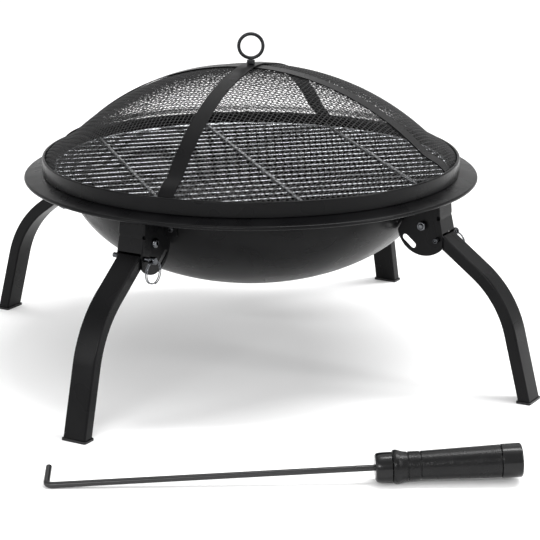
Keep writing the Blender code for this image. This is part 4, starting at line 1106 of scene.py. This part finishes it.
rod_bore = POKER_ROD + GAP
collar_end = COLLAR_AT + COLLAR_LENGTH
collar_outline = eased(
    [
        (HANDLE_COLLAR_R, COLLAR_AT + 0.6 * COLLAR_LENGTH),
        (HANDLE_COLLAR_R - 0.0002, COLLAR_AT + 0.25 * COLLAR_LENGTH),
        (HANDLE_COLLAR_R - 0.0010, COLLAR_AT + 0.08 * COLLAR_LENGTH),
        (HANDLE_COLLAR_R - 0.0030, COLLAR_AT),
    ],
    6,
)
cup_profile = [(rod_bore + 0.0004, COLLAR_AT), (rod_bore, COLLAR_AT + 0.0004), (rod_bore, collar_end)]
cup_profile += [(HANDLE_COLLAR_R - 0.0005, collar_end), (HANDLE_COLLAR_R, collar_end - 0.0005)]
handle_cup = spun("handle_cup", cup_profile + collar_outline, HANDLE_SIDES)
piece("handle_cup", handle_cup, poker_place, smooth_plastic, "poker", "black_plastic", "poker_collar")
grip_end = grip_at + GRIP_LENGTH
grip_front = [
    (rod_bore, rod_end + GAP),
    (rod_bore, grip_at + 0.0004),
    (rod_bore + 0.0004, grip_at),
    (BULGE_R - 0.0022, grip_at),
]
grip_front += eased(
    [
        (BULGE_R - 0.0014, grip_at + 0.0003),
        (BULGE_R - 0.0005, bulge_at - 0.6 * BULGE_BACK),
        (BULGE_R, bulge_at),
        (BULGE_R - 0.0003, bulge_at + 0.3 * NECK_LENGTH),
        (BULGE_R - 0.0014, bulge_at + 0.65 * NECK_LENGTH),
        (GRIP_FRONT_R + 0.0004, bulge_at + NECK_LENGTH),
        (GRIP_FRONT_R, grip_at + GROOVE_AT - 2 * GROOVE_DEPTH),
    ],
    5,
)
for number in range(2):
    middle = grip_at + GROOVE_AT + number * GROOVE_PITCH
    front, rear = middle - GROOVE_DEPTH, middle + GROOVE_DEPTH
    grip_front += [(GRIP_FRONT_R, front - GROOVE_LIP), (GRIP_FRONT_R - GROOVE_LIP / 2, front)]
    grip_front += arc(GRIP_FRONT_R, middle, GROOVE_DEPTH, radians(-100), radians(-260), 8)
    grip_front += [(GRIP_FRONT_R - GROOVE_LIP / 2, rear), (GRIP_FRONT_R, rear + GROOVE_LIP)]
taper_from = grip_at + GROOVE_AT + GROOVE_PITCH + 0.003
for step in range(8):
    share = step / 7
    along = taper_from + (grip_end - GRIP_ROUND - taper_from) * share
    grip_front.append((GRIP_FRONT_R + (GRIP_REAR_R - GRIP_FRONT_R) * share, along))
grip_front += arc(GRIP_REAR_R - GRIP_ROUND, grip_end - GRIP_ROUND, GRIP_ROUND, 0, radians(90), 6)[1:]
grip_front += [
    (SPIGOT_R + GAP, grip_end),
    (SPIGOT_R + GAP, grip_end - SPIGOT_LENGTH - GAP),
    (0, grip_end - SPIGOT_LENGTH - GAP),
]
moulded_grip = spun("moulded_grip", [(0, rod_end + GAP)] + grip_front, HANDLE_SIDES)
piece("moulded_grip", moulded_grip, poker_place, grained_plastic, "poker", "black_plastic", "poker_grip")
cap_at = grip_end + GAP
cap_end = cap_at + END_CAP_LENGTH
butt_profile = [(0, cap_at - SPIGOT_LENGTH), (SPIGOT_R, cap_at - SPIGOT_LENGTH), (SPIGOT_R, cap_at)]
butt_profile += [(END_CAP_R - 0.0011, cap_at)]
butt_profile += arc(END_CAP_R - END_CAP_LIP, cap_at + END_CAP_LIP, END_CAP_LIP, radians(-90), 0, 5)[1:]
butt_r, butt_high = END_CAP_R - END_CAP_ROUND, cap_end - END_CAP_ROUND
butt_profile += arc(butt_r, butt_high, END_CAP_ROUND, 0, radians(90), 9) + [(0, cap_end)]
end_butt = spun("end_butt", butt_profile, HANDLE_SIDES)
piece("end_butt", end_butt, poker_place, smooth_plastic, "poker", "black_plastic", "poker_end_cap")

# Studio: floor with a curved backdrop, soft lamps and the camera.
FLOOR_HALF = 9.0
COVE_R = 1.5
BACKDROP_HEIGHT = 7.0
SKY_STRENGTH = 0.75
CAMERA_BACK = 2.5395
CAMERA_HEIGHT = 0.8197
CAMERA_LENS = 139.9
CAMERA_SHIFT = (0.0354, -0.0103)
AIM_HEIGHT = 0.1131
floor_line = [(-FLOOR_HALF, 0.0), (FLOOR_HALF - COVE_R, 0.0)]
floor_line += arc(FLOOR_HALF - COVE_R, COVE_R, COVE_R, radians(-90), 0, 16)[1:]
floor_line += [(FLOOR_HALF, BACKDROP_HEIGHT)]
floor_points = []
for y, z in floor_line:
    floor_points += [(-FLOOR_HALF, y, z), (FLOOR_HALF, y, z)]
floor_faces = [(2 * row, 2 * row + 1, 2 * row + 3, 2 * row + 2) for row in range(len(floor_line) - 1)]
floor_mesh = loose_mesh("studio_floor", floor_points, floor_faces)
floor_mesh.polygons.foreach_set("use_smooth", [True] * len(floor_mesh.polygons))
floor_mesh.materials.append(matt_floor())
floor = placed("studio_floor", floor_mesh)


def lamp(name, place, aim, width, height, power):
    """A soft rectangular lamp."""
    light = bpy.data.lights.new(name, "AREA")
    light.shape = "RECTANGLE"
    light.size = width
    light.size_y = height
    light.energy = power
    made = placed(name, light)
    made.location = place
    made.rotation_euler = (Vector(aim) - Vector(place)).to_track_quat("-Z", "Y").to_euler()


lamp("overhead_softbox", (1.0, 1.2, 3.6), (1.0, 1.2, 0), 4.4, 6.0, 48)
lamp("high_right_strip", (1.3, 0.2, 3.2), (0.1, 0, 0), 0.7, 2.6, 80)
lamp("left_softbox", (-2.6, -1.6, 1.3), (0, 0, 0.2), 0.5, 1.6, 16)
lamp("front_strip", (-0.9, -3.3, 1.7), (0, 0, 0.2), 1.8, 0.12, 50)
lamp("right_softbox", (2.6, -1.2, 1.2), (0, 0, 0.2), 0.6, 1.6, 26)

world = bpy.data.worlds.new("studio_air")
bpy.context.scene.world = world
world.use_nodes = True
sky = world.node_tree.nodes["Background"].inputs
sky["Color"].default_value = (1, 1, 1, 1)
sky["Strength"].default_value = SKY_STRENGTH
bpy.context.scene.view_settings.view_transform = "Standard"

camera_data = bpy.data.cameras.new("camera")
camera_data.lens = CAMERA_LENS
camera_data.sensor_width = 36
camera_data.shift_x, camera_data.shift_y = CAMERA_SHIFT
camera = placed("camera", camera_data)
camera.location = (0, PIT_Y - CAMERA_BACK, CAMERA_HEIGHT)
view_line = Vector((0, PIT_Y, AIM_HEIGHT)) - camera.location
camera.rotation_euler = view_line.to_track_quat("-Z", "Y").to_euler()
bpy.context.scene.camera = camera

bpy.context.view_layer.update()
